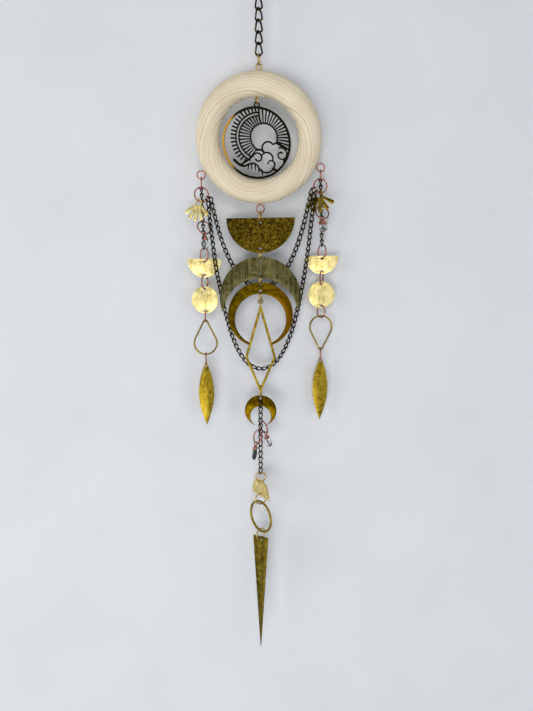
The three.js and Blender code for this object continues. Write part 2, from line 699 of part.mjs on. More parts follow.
// ---- side strands ---------------------------------------------------------------------------------
// A point of the big ring's wire, `turn` degrees round from its lowest point towards +X.
function onRing(middle, yaw, radius, turn) {
  const out = new THREE.Vector3(Math.sin(turn * RAD), 0, -Math.cos(turn * RAD));
  out.applyAxisAngle(new THREE.Vector3(0, 0, 1), yaw * RAD);
  return middle.clone().addScaledVector(out, radius);
}

function sideStrand(side, eye, options) {
  const strand = strandFrom(eye, EYE);
  const smallZ = strand.hang(`${side}_ring_a`, jumpRing(options.ringA), COPPER, options.a);
  const small = new THREE.Vector3(strand.x, strand.y, smallZ);
  const bigZ = strand.hang(`${side}_ring_b`, jumpRing(COPPER_RING), COPPER, options.b);
  const middle = new THREE.Vector3(strand.x, strand.y, bigZ);

  const hub = onRing(middle, options.b, COPPER_RING, options.fanTurn);
  const fanStrand = new Strand(hub.x, hub.y, hub.z + WIRE);
  fanStrand.hang(`${side}_fan`, fan(options.fanRoll), options.fanMetal, options.fan);

  // The chain hooks on the back of the small ring, behind the big one, and slants a little outwards.
  const start = onRing(small, options.a, options.ringA, CHAIN_TURN);
  const chain = curbChain(FINE_LINK, options.links, options.chain, 1, 8, 4);
  const slant = Math.asin(options.slant / (chain.top - chain.bottom));
  chain.geometry.translate(0, 0, -chain.top).rotateY(-slant).translate(0, 0, chain.top);
  const line = new Strand(start.x, start.y, start.z + WIRE);
  const chainTop = line.hang(`${side}_chain`, chain, BRONZE, 0);
  const stoneDepth = options.stoneLink * chain.pitch;
  const stoneX = line.x + (chain.top + stoneDepth) * Math.sin(slant);
  const stoneLink = new THREE.Vector3(stoneX, line.y, chainTop - stoneDepth);
  const stonePose = { yaw: options.c, roll: 0, tilt: 26, lean: 0 };
  const stone = stoneDrop(7.0, options.stoneTall, options.uneven);
  drop(`${side}_stone`, stoneLink, stonePose, COPPER_RING, stone, CRYSTAL);
  line.x += options.slant;

  line.hang(`${side}_ring_c`, jumpRing(COPPER_RING), COPPER, options.d);
  const half = halfCircle(HALF_CIRCLE.radius, HALF_CIRCLE.height, 2.1, 1);
  line.hang(`${side}_half_circle`, half, PALE_BRASS, options.half);
  line.hang(`${side}_ring_d`, jumpRing(options.ringD), COPPER, options.e);
  line.hang(`${side}_disc`, disc(), PALE_BRASS, options.disc);
  line.hang(`${side}_ring_e`, jumpRing(options.ringE), COPPER, options.f);
  const tear = side === 'left' ? tearHoop() : turnedOver(tearHoop());
  line.hang(`${side}_teardrop`, tear, BRASS, options.tear);
  line.hang(`${side}_ring_f`, jumpRing(COPPER_RING), COPPER, options.a);
  line.hang(`${side}_leaf`, leaf(), BRASS, options.leaf);
  return { middle, yaw: options.b };
}

const leftRing = sideStrand('left', 'left_screw_eye', {
  ringA: COPPER_RING_SMALL,
  ringD: COPPER_RING,
  ringE: COPPER_RING_SMALL,
  links: LEFT_LINKS,
  fanMetal: PALE_BRASS,
  fanTurn: -24,
  fanRoll: 8,
  slant: 1.3,
  stoneLink: 5,
  stoneTall: 7.6,
  uneven: 0.16,
  // turns about the plumb line, in degrees
  a: 97, b: 19, fan: -33, chain: -60, c: 28, d: -50, half: 6, e: 70, disc: -8, f: 97, tear: 6, leaf: 6,
});
const rightRing = sideStrand('right', 'right_screw_eye', {
  ringA: GOLD_RING,
  ringD: COPPER_RING_MID,
  ringE: COPPER_RING_MID,
  links: RIGHT_LINKS,
  fanMetal: BRASS,
  fanTurn: -8,
  fanRoll: -8,
  slant: 1.8,
  stoneLink: 4,
  stoneTall: 6.8,
  uneven: 0.05,
  a: 84, b: 16, fan: -28, chain: -71, c: 18, d: -60, half: -6, e: 70, disc: 6, f: -56, tear: 6, leaf: 6,
});

// ---- swag chains ----------------------------------------------------------------------------------
// A chain of fixed length between two points hangs in a catenary; its stretch is found by halving.
function catenary(x0, z0, x1, z1, low) {
  const heightAt = (x, a, mid) => low + a * (Math.cosh((x - mid) / a) - 1);
  let small = 2;
  let large = 400;
  let mid = 0;
  for (let i = 0; i < 80; i += 1) {
    const a = (small + large) / 2;
    const left = a * Math.acosh((z0 - low) / a + 1);
    const right = a * Math.acosh((z1 - low) / a + 1);
    mid = x0 + left;
    if (left + right > x1 - x0) {
      large = a;
    } else {
      small = a;
    }
  }
  const a = (small + large) / 2;
  return { a, mid, z: (x) => heightAt(x, a, mid) };
}

const smooth = (t) => {
  const s = Math.min(Math.max(t, 0), 1);
  return s * s * (3 - 2 * s);
};

// The end link lies square to the big ring's wire and the chain starts from its outer side.
function swagEnd(ring, turn) {
  const link = 1.6;
  const inner = COPPER_RING - WIRE - GAP - 0.4;
  const centrePoint = onRing(ring.middle, ring.yaw, inner + link, turn);
  const eye = new THREE.TorusGeometry(link, 0.4, 4, 8).rotateY(Math.PI / 2);
  eye.rotateY(-turn * RAD).rotateZ(ring.yaw * RAD).translate(centrePoint.x, centrePoint.y, centrePoint.z);
  return { eye, start: onRing(ring.middle, ring.yaw, inner + 2 * link, turn) };
}

function swag(name, turn, low, frontHigh, backLow, leftFront, rightFront) {
  const from = swagEnd(leftRing, turn);
  const to = swagEnd(rightRing, -turn);
  const curve = catenary(from.start.x, from.start.z, to.start.x, to.start.z, low);
  const steps = 30;
  const first = Math.sinh((from.start.x - curve.mid) / curve.a);
  const last = Math.sinh((to.start.x - curve.mid) / curve.a);
  const points = Array.from({ length: steps + 1 }, (_, i) => {
    const x = curve.mid + curve.a * Math.asinh(first + ((last - first) * i) / steps);
    const z = curve.z(x);
    const front = x < curve.mid ? leftFront : rightFront;
    const end = x < curve.mid ? from.start : to.start;
    const settle = smooth((end.z - z) / 14);
    const near = end.y + (front - end.y) * settle;
    const y = near + (SWAG_BACK - near) * smooth((frontHigh - z) / (frontHigh - backLow));
    return new THREE.Vector3(x, y, z);
  });
  const references = points.map(() => new THREE.Vector3(0, 1, 0));
  const body = wire(points, references, SWAG_RADIUS, 5, false);
  const solid = joined([body, from.eye, to.eye]);
  place(name, solid, BRONZE, new THREE.Vector3());
}

swag('upper_swag_chain', 74, -UPPER_SWAG_LOW, -72, -92, -1.0, 2.6);
swag('lower_swag_chain', 44, -LOWER_SWAG_LOW, -96, -109, -3.9, -1.2);

// ---- the hook bears at the origin ------------------------------------------------------------------
for (const mesh of mobile.children) {
  mesh.position.sub(new THREE.Vector3(eyeTop.x, eyeTop.y, hookZ));
}

export default mobile;
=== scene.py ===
"""Looks for the hanging mobile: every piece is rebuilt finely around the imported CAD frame.

Lengths are in millimetres until a mesh is made, and metres after that.  The front faces -Y.
"""

import math
import random

import bmesh
import bpy
import numpy as np
from mathutils import Matrix, Vector
from mathutils.geometry import tessellate_polygon


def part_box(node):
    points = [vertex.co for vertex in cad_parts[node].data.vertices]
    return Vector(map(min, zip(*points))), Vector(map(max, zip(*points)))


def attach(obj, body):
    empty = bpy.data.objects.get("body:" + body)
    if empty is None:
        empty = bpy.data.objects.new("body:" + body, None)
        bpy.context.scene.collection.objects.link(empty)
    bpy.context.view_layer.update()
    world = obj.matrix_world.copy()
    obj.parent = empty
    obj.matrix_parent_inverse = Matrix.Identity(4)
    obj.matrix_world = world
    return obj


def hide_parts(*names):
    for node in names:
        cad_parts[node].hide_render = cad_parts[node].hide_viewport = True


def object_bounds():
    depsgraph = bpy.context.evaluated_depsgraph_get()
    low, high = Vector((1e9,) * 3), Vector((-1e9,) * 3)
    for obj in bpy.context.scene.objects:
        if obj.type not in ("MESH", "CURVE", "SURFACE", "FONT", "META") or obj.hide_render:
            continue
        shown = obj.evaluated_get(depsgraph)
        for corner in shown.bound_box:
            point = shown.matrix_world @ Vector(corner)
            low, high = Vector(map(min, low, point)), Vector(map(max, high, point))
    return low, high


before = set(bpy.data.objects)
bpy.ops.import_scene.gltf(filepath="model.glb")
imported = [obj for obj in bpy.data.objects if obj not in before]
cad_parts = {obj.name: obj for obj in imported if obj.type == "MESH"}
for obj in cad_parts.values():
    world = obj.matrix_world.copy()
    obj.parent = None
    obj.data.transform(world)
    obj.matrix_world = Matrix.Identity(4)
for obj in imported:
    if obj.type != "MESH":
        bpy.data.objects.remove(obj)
CAD_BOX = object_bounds()

# ---- named sizes, as in the CAD ----
MM = 0.001
GAP = 0.3
WIRE = 0.5
HOLE = 1.1
SHEET = 0.8
EDGE = 0.12  # rounding of a stamped edge
COPPER_RING, GOLD_RING = 5.1, 3.8
RING_RADIUS = {  # the rings that aren't their metal's usual size
    "centre_ring_5": 4.7, "centre_ring_7": 4.3, "centre_ring_8": 4.3, "left_ring_a": 4.2,
    "left_ring_e": 4.2, "right_ring_a": 3.8, "right_ring_d": 4.6, "right_ring_e": 4.6,
}
RING_CUT = 0.1  # half the slit of a jump ring
CENTRE_YAWS = (84, 80, 82, 80, 84, 12, 20, 45)
CENTRE_SEAMS = (15, 160, 30, 175, 20, 165, 10, 170)
STONE_SEAM, TOP_RING_SEAM = 150, 200
HANGER = (7.0, 0.9)
HANGER_YAW, TOP_YAW, TOP_RING_YAW, FINE_YAW = -20, 25, 80, 33
LINK_LAP = 1.84  # wire widths that a link shares with the next one
TOP_LINK = {"length": 9.9, "width": 6.0, "wire": 1.3}
TOP_LINKS, CENTRE_LINKS = 7, 14
FINE_LINK = {"length": 6.09, "width": 3.7, "wire": 0.92}
SWAG_LINK = {"length": 6.18, "width": 3.8, "wire": 1.05}
WOOD_RADIUS, WOOD_BAND, WOOD_DEPTH, WOOD_YAW = 37.2, 8.5, 7.0, 4
EYE, EYE_SMALL, SHANK = 2.9, 2.1, 7.0
WOOD_SQUARE = 0.86  # below 1 the wood's section is squarer than an ellipse
CHARM_RADIUS, CHARM_YAW, CHARM_SHEET = 25.1, 9, 1.0
CHARM_LOOP, CHARM_EDGE, CHARM_VOXEL = 1.75, 0.05, 0.17
HALF_MOON = (25.6, 25.6, 3.0)  # radius, height and how far in the lower hole lies
BIG_CRESCENT = {"outer": 30.6, "inner": 28.6, "drop": 13.8, "hole": 2.6, "lower_hole": 2.8}
MID_CRESCENT = {
    "outer": 24.6, "inner": 19.4, "drop": 3.5, "mouth": 8.4, "hole": 2.3, "lower_hole": 2.0,
}
SMALL_CRESCENT = {"outer": 12.2, "inner": 8.05, "drop": 4.5, "hole": 2.2}
KITE = {"half": 11.8, "up": 41.1, "down": 27.9, "bar": 1.9, "depth": 1.2, "loop": 1.6, "lean": 2.4}
KITE_EDGE = 0.22
HALF_CIRCLE = (12.3, 13.5, 2.1)
DISC_RADIUS, DISC_INSET = 10.1, 2.1
HOOP = (12.05, 0.95)
SPIKE = {"width": 13.3, "length": 95, "tip": 0.5, "inset": 2.4}
HALF_MOON_YAW, SMALL_CRESCENT_YAW, HALF_CIRCLE_YAW, HOOP_YAW, SPIKE_YAW = -8, -4, -58, -49, -26
TEAR = {"width": 18.4, "length": 27.4, "wire": 0.65, "point": 1.3}
LEAF = (11.8, 50.8)
LEAF_INSET, LEAF_HOLE = 4.2, 0.95
FAN = {"ray": 13.4, "hub": 3.0, "hole": 2.15, "spread": 26.5, "root": 1.5, "end": 3.2, "tilt": 9}
STONE = {"loop": 1.5, "wrap": 2.0, "wrap_length": 2.6, "depth": 0.3}
STONE_WIRE, STONE_COILS, STONE_TILT = 0.36, 5.5, 26
SWAG_EYE = (1.6, 0.4)  # radius and wire of the ring that ends a swag
SWAG_RADIUS = 1.3  # of the plain tube that stands for a swag in the CAD
SWAG_BACK = 3.1  # how far back the swags lie behind the centre strand
SWAG_DIP = 14  # how far down a swag takes to leave its big ring's plane
SIDE_SEAMS = (20, 155, 25, 160, 15, 170)
SIDES = {  # rings holds the yaws of the rings a to f, and b is the big one
    "left": {
        "rings": (97, 19, -50, 70, 97, 97), "fan": -33, "fan_turn": -24, "fan_roll": 8,
        "chain": -60, "slant": 1.3, "links": 10, "stone_yaw": 28, "stone": (7.0, 7.6), "seed": 5,
        "half": 6, "disc": -8, "tear": 6, "leaf": 6,
    },
    "right": {
        "rings": (84, 16, -60, 70, -56, 84), "fan": -28, "fan_turn": -8, "fan_roll": -8,
        "chain": -71, "slant": 1.8, "links": 11, "stone_yaw": 18, "stone": (7.0, 6.8), "seed": 8,
        "half": -6, "disc": 6, "tear": 6, "leaf": 6,
    },
}
SWAGS = {  # front_high and back_low are heights from the wood's middle, fronts the ends' depths
    "upper_swag_chain": {"turn": 74, "front_high": -72, "back_low": -92, "fronts": (-1.0, 2.6)},
    "lower_swag_chain": {"turn": 44, "front_high": -96, "back_low": -109, "fronts": (-3.9, -1.2)},
}
WALL_GAP, FLOOR_DROP = 0.002, 0.75  # metres behind and below the CAD box


# ---- small helpers ----
def centre(node):
    lo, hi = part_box(node)
    return (lo + hi) / 2 / MM


def turned_z(degrees):
    return Matrix.Rotation(math.radians(degrees), 4, "Z")


def turned_x(degrees):
    return Matrix.Rotation(math.radians(degrees), 4, "X")


def turned_y(degrees):
    return Matrix.Rotation(math.radians(degrees), 4, "Y")


def at(point, *turns):
    """A matrix that applies the turns from right to left and then moves to point."""
    made = Matrix.Translation(Vector(point))
    for turn in turns:
        made = made @ turn
    return made


def arc(x, z, radius, start, end, steps):
    angles = np.radians(np.linspace(start, end, steps + 1))
    return np.column_stack((x + radius * np.cos(angles), z + radius * np.sin(angles)))


def flat(points, y=0.0):
    """Outline points as points in an upright plane at y."""
    points = np.asarray(points, float)
    return np.column_stack((points[:, 0], np.full(len(points), y), points[:, 1]))


def smooth_step(t):
    t = np.clip(t, 0.0, 1.0)
    return t * t * (3 - 2 * t)


# ---- solids: each is (vertices, faces) in millimetres ----
def joined(parts):
    vertices, faces, base = [], [], 0
    for points, polygons in parts:
        vertices.append(np.asarray(points, float))
        faces.extend([tuple(i + base for i in polygon) for polygon in polygons])
        base += len(points)
    return np.vstack(vertices), faces


def moved(solid, matrix):
    points, faces = solid
    m = np.array(matrix)
    return points @ m[:3, :3].T + m[:3, 3], faces


def band(low, high, count):
    """Quads between two loops of count points that start at low and at high."""
    return [(low + i, low + (i + 1) % count, high + (i + 1) % count, high + i)
            for i in range(count)]


def tube(points, reference, radius, sides, closed=False):
    """Round wire along points.  reference is one sideways direction, or one for each point."""
    points = np.asarray(points, float)
    count = len(points)
    reference = np.broadcast_to(np.asarray(reference, float), points.shape)
    radius = np.broadcast_to(np.asarray(radius, float), (count,)).copy()
    if closed:
        along = np.roll(points, -1, 0) - np.roll(points, 1, 0)
    else:
        along = np.gradient(points, axis=0)
    along /= np.linalg.norm(along, axis=1)[:, None]
    if not closed:
        points, along, reference, radius = rounded_ends(points, along, reference, radius)
        count = len(points)
    u = reference - along * np.sum(reference * along, axis=1)[:, None]
    u /= np.linalg.norm(u, axis=1)[:, None]
    v = np.cross(along, u)
    turns = np.linspace(0, 2 * math.pi, sides, endpoint=False)
    ring = np.cos(turns)[None, :, None] * u[:, None] + np.sin(turns)[None, :, None] * v[:, None]
    vertices = (points[:, None] + ring * radius[:, None, None]).reshape(-1, 3)
    faces = []
    for i in range(count if closed else count - 1):
        faces += band(i * sides, (i + 1) % count * sides, sides)
    if not closed:
        faces.append(tuple(reversed(range(sides))))
        faces.append(tuple((count - 1) * sides + k for k in range(sides)))
    return vertices, faces


def rounded_ends(points, along, reference, radius):
    """Adds two narrower rings at each end of an open wire, to round it off."""
    reach, steps = 0.28, ((0.0, 0.62), (0.12, 0.9))
    head = [points[0] + along[0] * radius[0] * (a - reach) for a, _ in steps]
    tail = [points[-1] - along[-1] * radius[-1] * (a - reach) for a, _ in steps[::-1]]
    narrow = [radius[0] * b for _, b in steps], [radius[-1] * b for _, b in steps[::-1]]
    points = np.vstack([head, points, tail])
    radius = np.concatenate([narrow[0], radius, narrow[1]])
    along = np.vstack([along[:1], along[:1], along, along[-1:], along[-1:]])
    reference = np.vstack([reference[:1], reference[:1], reference, reference[-1:], reference[-1:]])
    return points, along, reference, radius


def ring(radius, thickness, segments=56, sides=12, seam=None):
    """A ring of wire standing in the XZ plane, closed, or cut open at seam degrees."""
    if seam is None:
        path = arc(0, 0, radius, 0, 360, segments)[:-1]
        return tube(flat(path), (0, 1, 0), thickness, sides, True)
    slit = math.degrees(RING_CUT / radius)
    path = arc(0, 0, radius, seam + slit, seam + 360 - slit, segments)
    return tube(flat(path), (0, 1, 0), thickness, sides)


def area(loop):
    x, z = loop[:, 0], loop[:, 1]
    return 0.5 * float(np.sum(x * np.roll(z, -1) - z * np.roll(x, -1)))


def inset(loop, amount):
    """The loop moved inwards (outline) or outwards (hole), with short mitres at sharp corners."""
    before = loop - np.roll(loop, 1, 0)
    after = np.roll(loop, -1, 0) - loop
    before /= np.linalg.norm(before, axis=1)[:, None]
    after /= np.linalg.norm(after, axis=1)[:, None]
    normal = np.column_stack((-before[:, 1] - after[:, 1], before[:, 0] + after[:, 0]))
    length = np.linalg.norm(normal, axis=1)
    stretch = amount * 2 / np.maximum(length, 1.0) / np.maximum(length, 1e-6)
    return loop + normal * stretch[:, None]


def edge_levels(half, edge):
    """(share of the rounding, Y) of each loop from the front of a sheet to its back."""
    return ((1.0, -half), (0.3, 0.3 * edge - half), (0.0, edge - half),
            (0.0, half - edge), (0.3, half - 0.3 * edge), (1.0, half))


def plate(outline, holes=(), thickness=SHEET, edge=EDGE):
    """Sheet metal with rounded edges, its outline drawn in X and Z and centred on Y = 0."""
    outline = np.asarray(outline, float)
    if area(outline) < 0:
        outline = outline[::-1]
    loops = [outline]
    for x, z, radius in holes:
        loops.append(arc(x, z, radius, 360, 0, 28)[:-1])
    levels = edge_levels(thickness / 2, edge)
    last = len(levels) - 1
    vertices, faces, front, behind = [], [], [], {}
    base = 0
    for loop in loops:
        count = len(loop)
        vertices += [flat(inset(loop, share * edge), y) for share, y in levels]
        for level in range(last):
            faces += band(base + level * count, base + (level + 1) * count, count)
        front.append(list(range(base, base + count)))
        behind.update((i, i + last * count) for i in front[-1])
        base += count * len(levels)
    points = np.vstack(vertices)
    indices = [i for loop in front for i in loop]
    polygons = [[Vector((points[i][0], points[i][2], 0)) for i in loop] for loop in front]
    for tri in tessellate_polygon(polygons):
        a, b, c = (indices[i] for i in tri)
        pa, pb, pc = (points[i][[0, 2]] for i in (a, b, c))
        if (pb[0] - pa[0]) * (pc[1] - pa[1]) - (pb[1] - pa[1]) * (pc[0] - pa[0]) < 0:
            b, c = c, b
        faces.append((a, b, c))
        faces.append((behind[a], behind[c], behind[b]))
    return points, faces


def lathe(profile, segments):
    """A closed profile of (radius, depth) turned about the Y axis."""
    profile = np.asarray(profile, float)
    count = len(profile)
    vertices = []
    radius, depth = profile[:, 0], profile[:, 1]
    for k in range(segments):
        turn = 2 * math.pi * k / segments
        vertices.append(np.column_stack((radius * math.cos(turn), depth, radius * math.sin(turn))))
    faces = []
    for k in range(segments):
        n = (k + 1) % segments
        for i in range(count):
            j = (i + 1) % count
            faces.append((k * count + i, n * count + i, n * count + j, k * count + j))
    return np.vstack(vertices), faces


# ---- objects ----
def new_object(name, data):
    made = bpy.data.objects.new(name, data)
    bpy.context.scene.collection.objects.link(made)
    return made


def make(name, solid, matrix, finish, nodes=None, crease=35):
    """One piece in the row frame, riding on the mobile and standing for its CAD nodes.

    finish is its material and a slot name; the slot is not used.  nodes is left out where one node
    has the piece's own name.
    """
    material, slot = finish
    nodes = nodes or [name]
    points, faces = moved(solid, matrix)
    mesh = bpy.data.meshes.new(name)
    mesh.from_pydata((points * MM).tolist(), [], faces)
    cleaned = bmesh.new()
    cleaned.from_mesh(mesh)
    bmesh.ops.recalc_face_normals(cleaned, faces=cleaned.faces)
    cleaned.to_mesh(mesh)
    cleaned.free()
    mesh.polygons.foreach_set("use_smooth", [True] * len(mesh.polygons))
    mesh.set_sharp_from_angle(angle=math.radians(crease))
    mesh.materials.append(material)
    made = new_object(name, mesh)
    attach(made, "root")
    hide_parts(*nodes)
    return made


# ---- materials ----
class Paint:
    """Builds one procedural material from noise in the row frame."""

    def __init__(self, name):
        self.material = bpy.data.materials.new(name)
        self.material.use_nodes = True
        self.tree = self.material.node_tree
        self.shader = self.tree.nodes["Principled BSDF"]
        self.place = self.tree.nodes.new("ShaderNodeTexCoord").outputs["Object"]

    def link(self, source, target):
        self.tree.links.new(source, target)

    def put(self, node, values):
        """Gives a node's inputs plain values, or links other nodes' outputs to them."""
        for key, value in values.items():
            socket = node.inputs[key.replace("_", " ") if isinstance(key, str) else key]
            if isinstance(value, bpy.types.NodeSocket):
                self.link(value, socket)
            else:
                socket.default_value = value
        return node

    def set(self, **values):
        self.put(self.shader, values)

    def node(self, kind, **values):
        return self.put(self.tree.nodes.new(f"ShaderNode{kind}"), values)

    def mapped(self, scale, shift=(0, 0, 0)):
        node = self.node("Mapping", Vector=self.place, Scale=scale, Location=shift)
        return node.outputs["Vector"]

    def noise(self, scale, detail, roughness=0.6, vector=None, distortion=0.0):
        return self.node("TexNoise", Vector=vector or self.place, Scale=scale, Detail=detail,
                         Roughness=roughness, Distortion=distortion).outputs["Fac"]

    def ramp(self, value, *stops):
        node = self.node("ValToRGB", Fac=value)
        elements = node.color_ramp.elements
        while len(elements) < len(stops):
            elements.new(0.5)
        for element, (position, colour) in zip(elements, stops):
            element.position = position
            element.color = (*colour, 1)
        return node.outputs["Color"]

    def span(self, value, low, high, start=0.3, end=0.7):
        """value's range from start to end, stretched to run from low to high."""
        return self.node("MapRange", Value=value, From_Min=start, From_Max=end, To_Min=low,
                         To_Max=high).outputs["Result"]

    def math(self, kind, a, b):
        node = self.node("Math")
        node.operation = kind
        return self.put(node, {0: a, 1: b}).outputs["Value"]

    def weighted(self, a, a_share, b, b_share):
        shared = self.math("MULTIPLY", a, a_share), self.math("MULTIPLY", b, b_share)
        return self.math("ADD", *shared)

    def mix(self, factor, a, b):
        """Colours a and b, each a tuple or another node's output, mixed by factor."""
        node = self.node("Mix")
        node.data_type = "RGBA"
        a, b = ((*colour, 1) if isinstance(colour, tuple) else colour for colour in (a, b))
        return self.put(node, {0: factor, 6: a, 7: b}).outputs[2]

    def bump(self, height, distance, strength):
        node = self.node("Bump", Height=height, Distance=distance * MM, Strength=strength)
        self.set(Normal=node.outputs["Normal"])

    def colour(self, source):
        self.set(Base_Color=source)

    def rough(self, source):
        self.set(Roughness=source)


def plated_wire(name, slot, dark, middle, bright, roughness):
    """Drawn wire: plating rubbed bright in places, fine drawing marks and little pits."""
    paint = Paint(name)
    paint.set(Metallic=1.0)
    patches = paint.noise(420, 5, 0.65)
    fine = paint.noise(3200, 3, 0.6)
    tone = paint.ramp(patches, (0.3, dark), (0.52, middle), (0.72, bright))
    paint.colour(paint.mix(paint.span(fine, 0.0, 0.35), tone, dark))
    paint.rough(paint.span(paint.noise(900, 4), roughness - 0.08, roughness + 0.14))
    paint.bump(fine, 0.012, 0.6)
    return paint.material, slot


def brushed_sheet(name, slot, tones, roughness, lines, blotch, scratch=0.5, painted_right_sheen=None):
    """Sheet brushed up and down under a mottled patina.

    tones are its dark, middle and bright.  lines is the strength of the brushing, blotch the
    patina's scale, and painted_right_sheen the colour of a warm reflection painted onto the
    mobile's right side.
    """
    dark, middle, bright = tones
    paint = Paint(name)
    paint.set(Metallic=1.0)
    hair = paint.noise(1.0, 4, 0.7, paint.mapped((5200, 5200, 95)))
    broad = paint.noise(1.0, 3, 0.6, paint.mapped((800, 800, 45)))
    spots = paint.noise(blotch, 6, 0.72, distortion=0.6)
    grains = paint.noise(1700, 4, 0.7)
    strokes = paint.weighted(hair, 0.4, broad, 0.6)
    tone = paint.ramp(spots, (0.4, dark), (0.5, middle), (0.62, bright))
    lined = paint.mix(paint.span(strokes, 0.0, lines, 0.38, 0.62), tone, bright)
    speckled = paint.mix(paint.span(grains, 0.0, 0.3, 0.5, 0.75), lined, dark)
    # Painted reflection: a warm orange sheen is laid on the sheet towards the mobile's right side,
    # where the light glances off it.
    if painted_right_sheen:
        across = paint.node("SeparateXYZ", Vector=paint.place).outputs["X"]
        speckled = paint.mix(paint.span(across, 0.0, 0.75, 0.004, 0.02), speckled, painted_right_sheen)
    paint.colour(speckled)
    worn = paint.weighted(spots, 0.6, strokes, 0.4)
    paint.rough(paint.span(worn, roughness - 0.1, roughness + 0.14))
    paint.bump(paint.weighted(strokes, scratch, grains, 0.3), 0.02, 0.7)
    return paint.material, slot


def turned_wood(middle):
    """Pale turned wood: growth rings round the tree's own centre, cut across by the turning."""
    paint = Paint("turned_pale_wood")
    paint.set(IOR=1.45, Coat_Weight=0.12, Coat_Roughness=0.35)
    tree_centre = Vector((middle.x + 3, 0, middle.z - 4)) * MM
    shifted = paint.mapped((1, 0.45, 1), (-tree_centre.x, 0, -tree_centre.z))
    bend = paint.node("TexNoise", Vector=shifted, Scale=18, Detail=2)
    waved = paint.node("VectorMath")
    waved.operation = "MULTIPLY_ADD"
    paint.put(waved, {0: bend.outputs["Color"], 1: (0.012, 0.012, 0.012), 2: shifted})
    length = paint.node("VectorMath")
    length.operation = "LENGTH"
    paint.link(waved.outputs["Vector"], length.inputs[0])
    rings = paint.node("TexNoise", Scale=1.0, Detail=3, Roughness=0.62)
    rings.noise_dimensions = "1D"
    paint.link(paint.math("MULTIPLY", length.outputs["Value"], 1050), rings.inputs["W"])
    fibre = paint.noise(1.0, 4, 0.65, paint.mapped((2600, 500, 2600)))
    pores = paint.noise(5200, 2, 0.5)
    wide = paint.noise(55, 3, 0.5)
    early = paint.mix(paint.span(wide, 0.0, 1.0), (0.84, 0.76, 0.58), (0.76, 0.66, 0.48))
    late = paint.span(rings.outputs["Fac"], 0.0, 0.9, 0.48, 0.68)
    bands = paint.mix(late, early, (0.54, 0.43, 0.28))
    lined = paint.mix(paint.span(fibre, 0.0, 0.25, 0.5, 0.75), bands, (0.52, 0.41, 0.28))
    paint.colour(paint.mix(paint.span(pores, 0.0, 0.22, 0.6, 0.8), lined, (0.40, 0.30, 0.20)))
    paint.rough(paint.span(rings.outputs["Fac"], 0.42, 0.58))
    heights = paint.math("ADD", rings.outputs["Fac"], paint.math("MULTIPLY", fibre, 0.5))
    paint.bump(heights, 0.06, 0.5)
    return paint.material, "wood"


def clear_crystal(name, tint, roughness):
    """See-through quartz: plain values, with veils and pits only in its surface."""
    paint = Paint(name)
    paint.set(Roughness=roughness, IOR=1.54, Transmission_Weight=1.0)
    paint.colour((*tint, 1))
    paint.bump(paint.noise(700, 3, 0.6), 0.05, 0.4)
    return paint.material, "crystal"


def dark_glossy_stone():
    paint = Paint("dark_green_stone")
    paint.set(IOR=1.6, Coat_Weight=0.6, Coat_Roughness=0.05)
    veins = paint.noise(520, 5, 0.7, distortion=1.2)
    deep, green, pale = (0.004, 0.009, 0.008), (0.012, 0.03, 0.024), (0.06, 0.11, 0.09)
    paint.colour(paint.ramp(veins, (0.4, deep), (0.6, green), (0.72, pale)))
    paint.rough(paint.span(veins, 0.06, 0.2))
    paint.bump(paint.noise(1500, 3), 0.02, 0.4)
    return paint.material, "dark_stone"


def etched_charm():
    """Blackened metal, with a warm gold highlight painted on the left part of its rim where the
    edge catches the light.
    """
    paint = Paint("blackened_filigree")
    paint.set(Metallic=1.0)
    patches = paint.noise(650, 5, 0.65)
    fine = paint.noise(3000, 3, 0.6)
    black = paint.ramp(patches, (0.35, (0.004, 0.003, 0.002)), (0.7, (0.02, 0.014, 0.007)))
    middle = centre("sun_charm")
    spot = paint.mapped((1 / MM,) * 3, (-middle.x, 0, 1.5 - middle.z))
    spot = paint.node("SeparateXYZ", Vector=spot)
    across, up = spot.outputs["X"], spot.outputs["Z"]
    squares = paint.weighted(across, across, up, up)
    reach = paint.math("SQRT", squares, 0)
    rim = paint.span(reach, 0.0, 1.0, CHARM_RADIUS - 1.9, CHARM_RADIUS - 1.6)
    side = paint.span(across, 1.0, 0.0, -0.76 * CHARM_RADIUS, -0.60 * CHARM_RADIUS)
    # Painted highlight: the left part of the rim is coloured warm gold where its edge catches the
    # light.
    painted_rim_highlight = paint.math("MULTIPLY", rim, side)
    paint.colour(paint.mix(painted_rim_highlight, black, (0.50, 0.27, 0.03)))
    paint.rough(paint.span(fine, 0.3, 0.52))
    paint.bump(fine, 0.015, 0.6)
    return paint.material, "bronze"


WOOD_MIDDLE = centre("wooden_ring")
WOOD = turned_wood(WOOD_MIDDLE)
GOLD = plated_wire(
    "gold_wire", "gold", (0.34, 0.21, 0.05), (0.62, 0.42, 0.12), (0.92, 0.68, 0.28), 0.24)
COPPER = plated_wire(
    "copper_wire", "copper", (0.22, 0.065, 0.045), (0.50, 0.18, 0.12), (0.95, 0.50, 0.38), 0.24)
BRONZE = plated_wire(
    "antique_bronze", "bronze",
    (0.006, 0.004, 0.002), (0.018, 0.012, 0.005), (0.30, 0.20, 0.07), 0.34)
MOTTLED = brushed_sheet(
    "mottled_aged_brass", "aged_brass",
    ((0.010, 0.006, 0.0006), (0.058, 0.038, 0.003), (0.20, 0.135, 0.014)), 0.46, 0.10, 620)
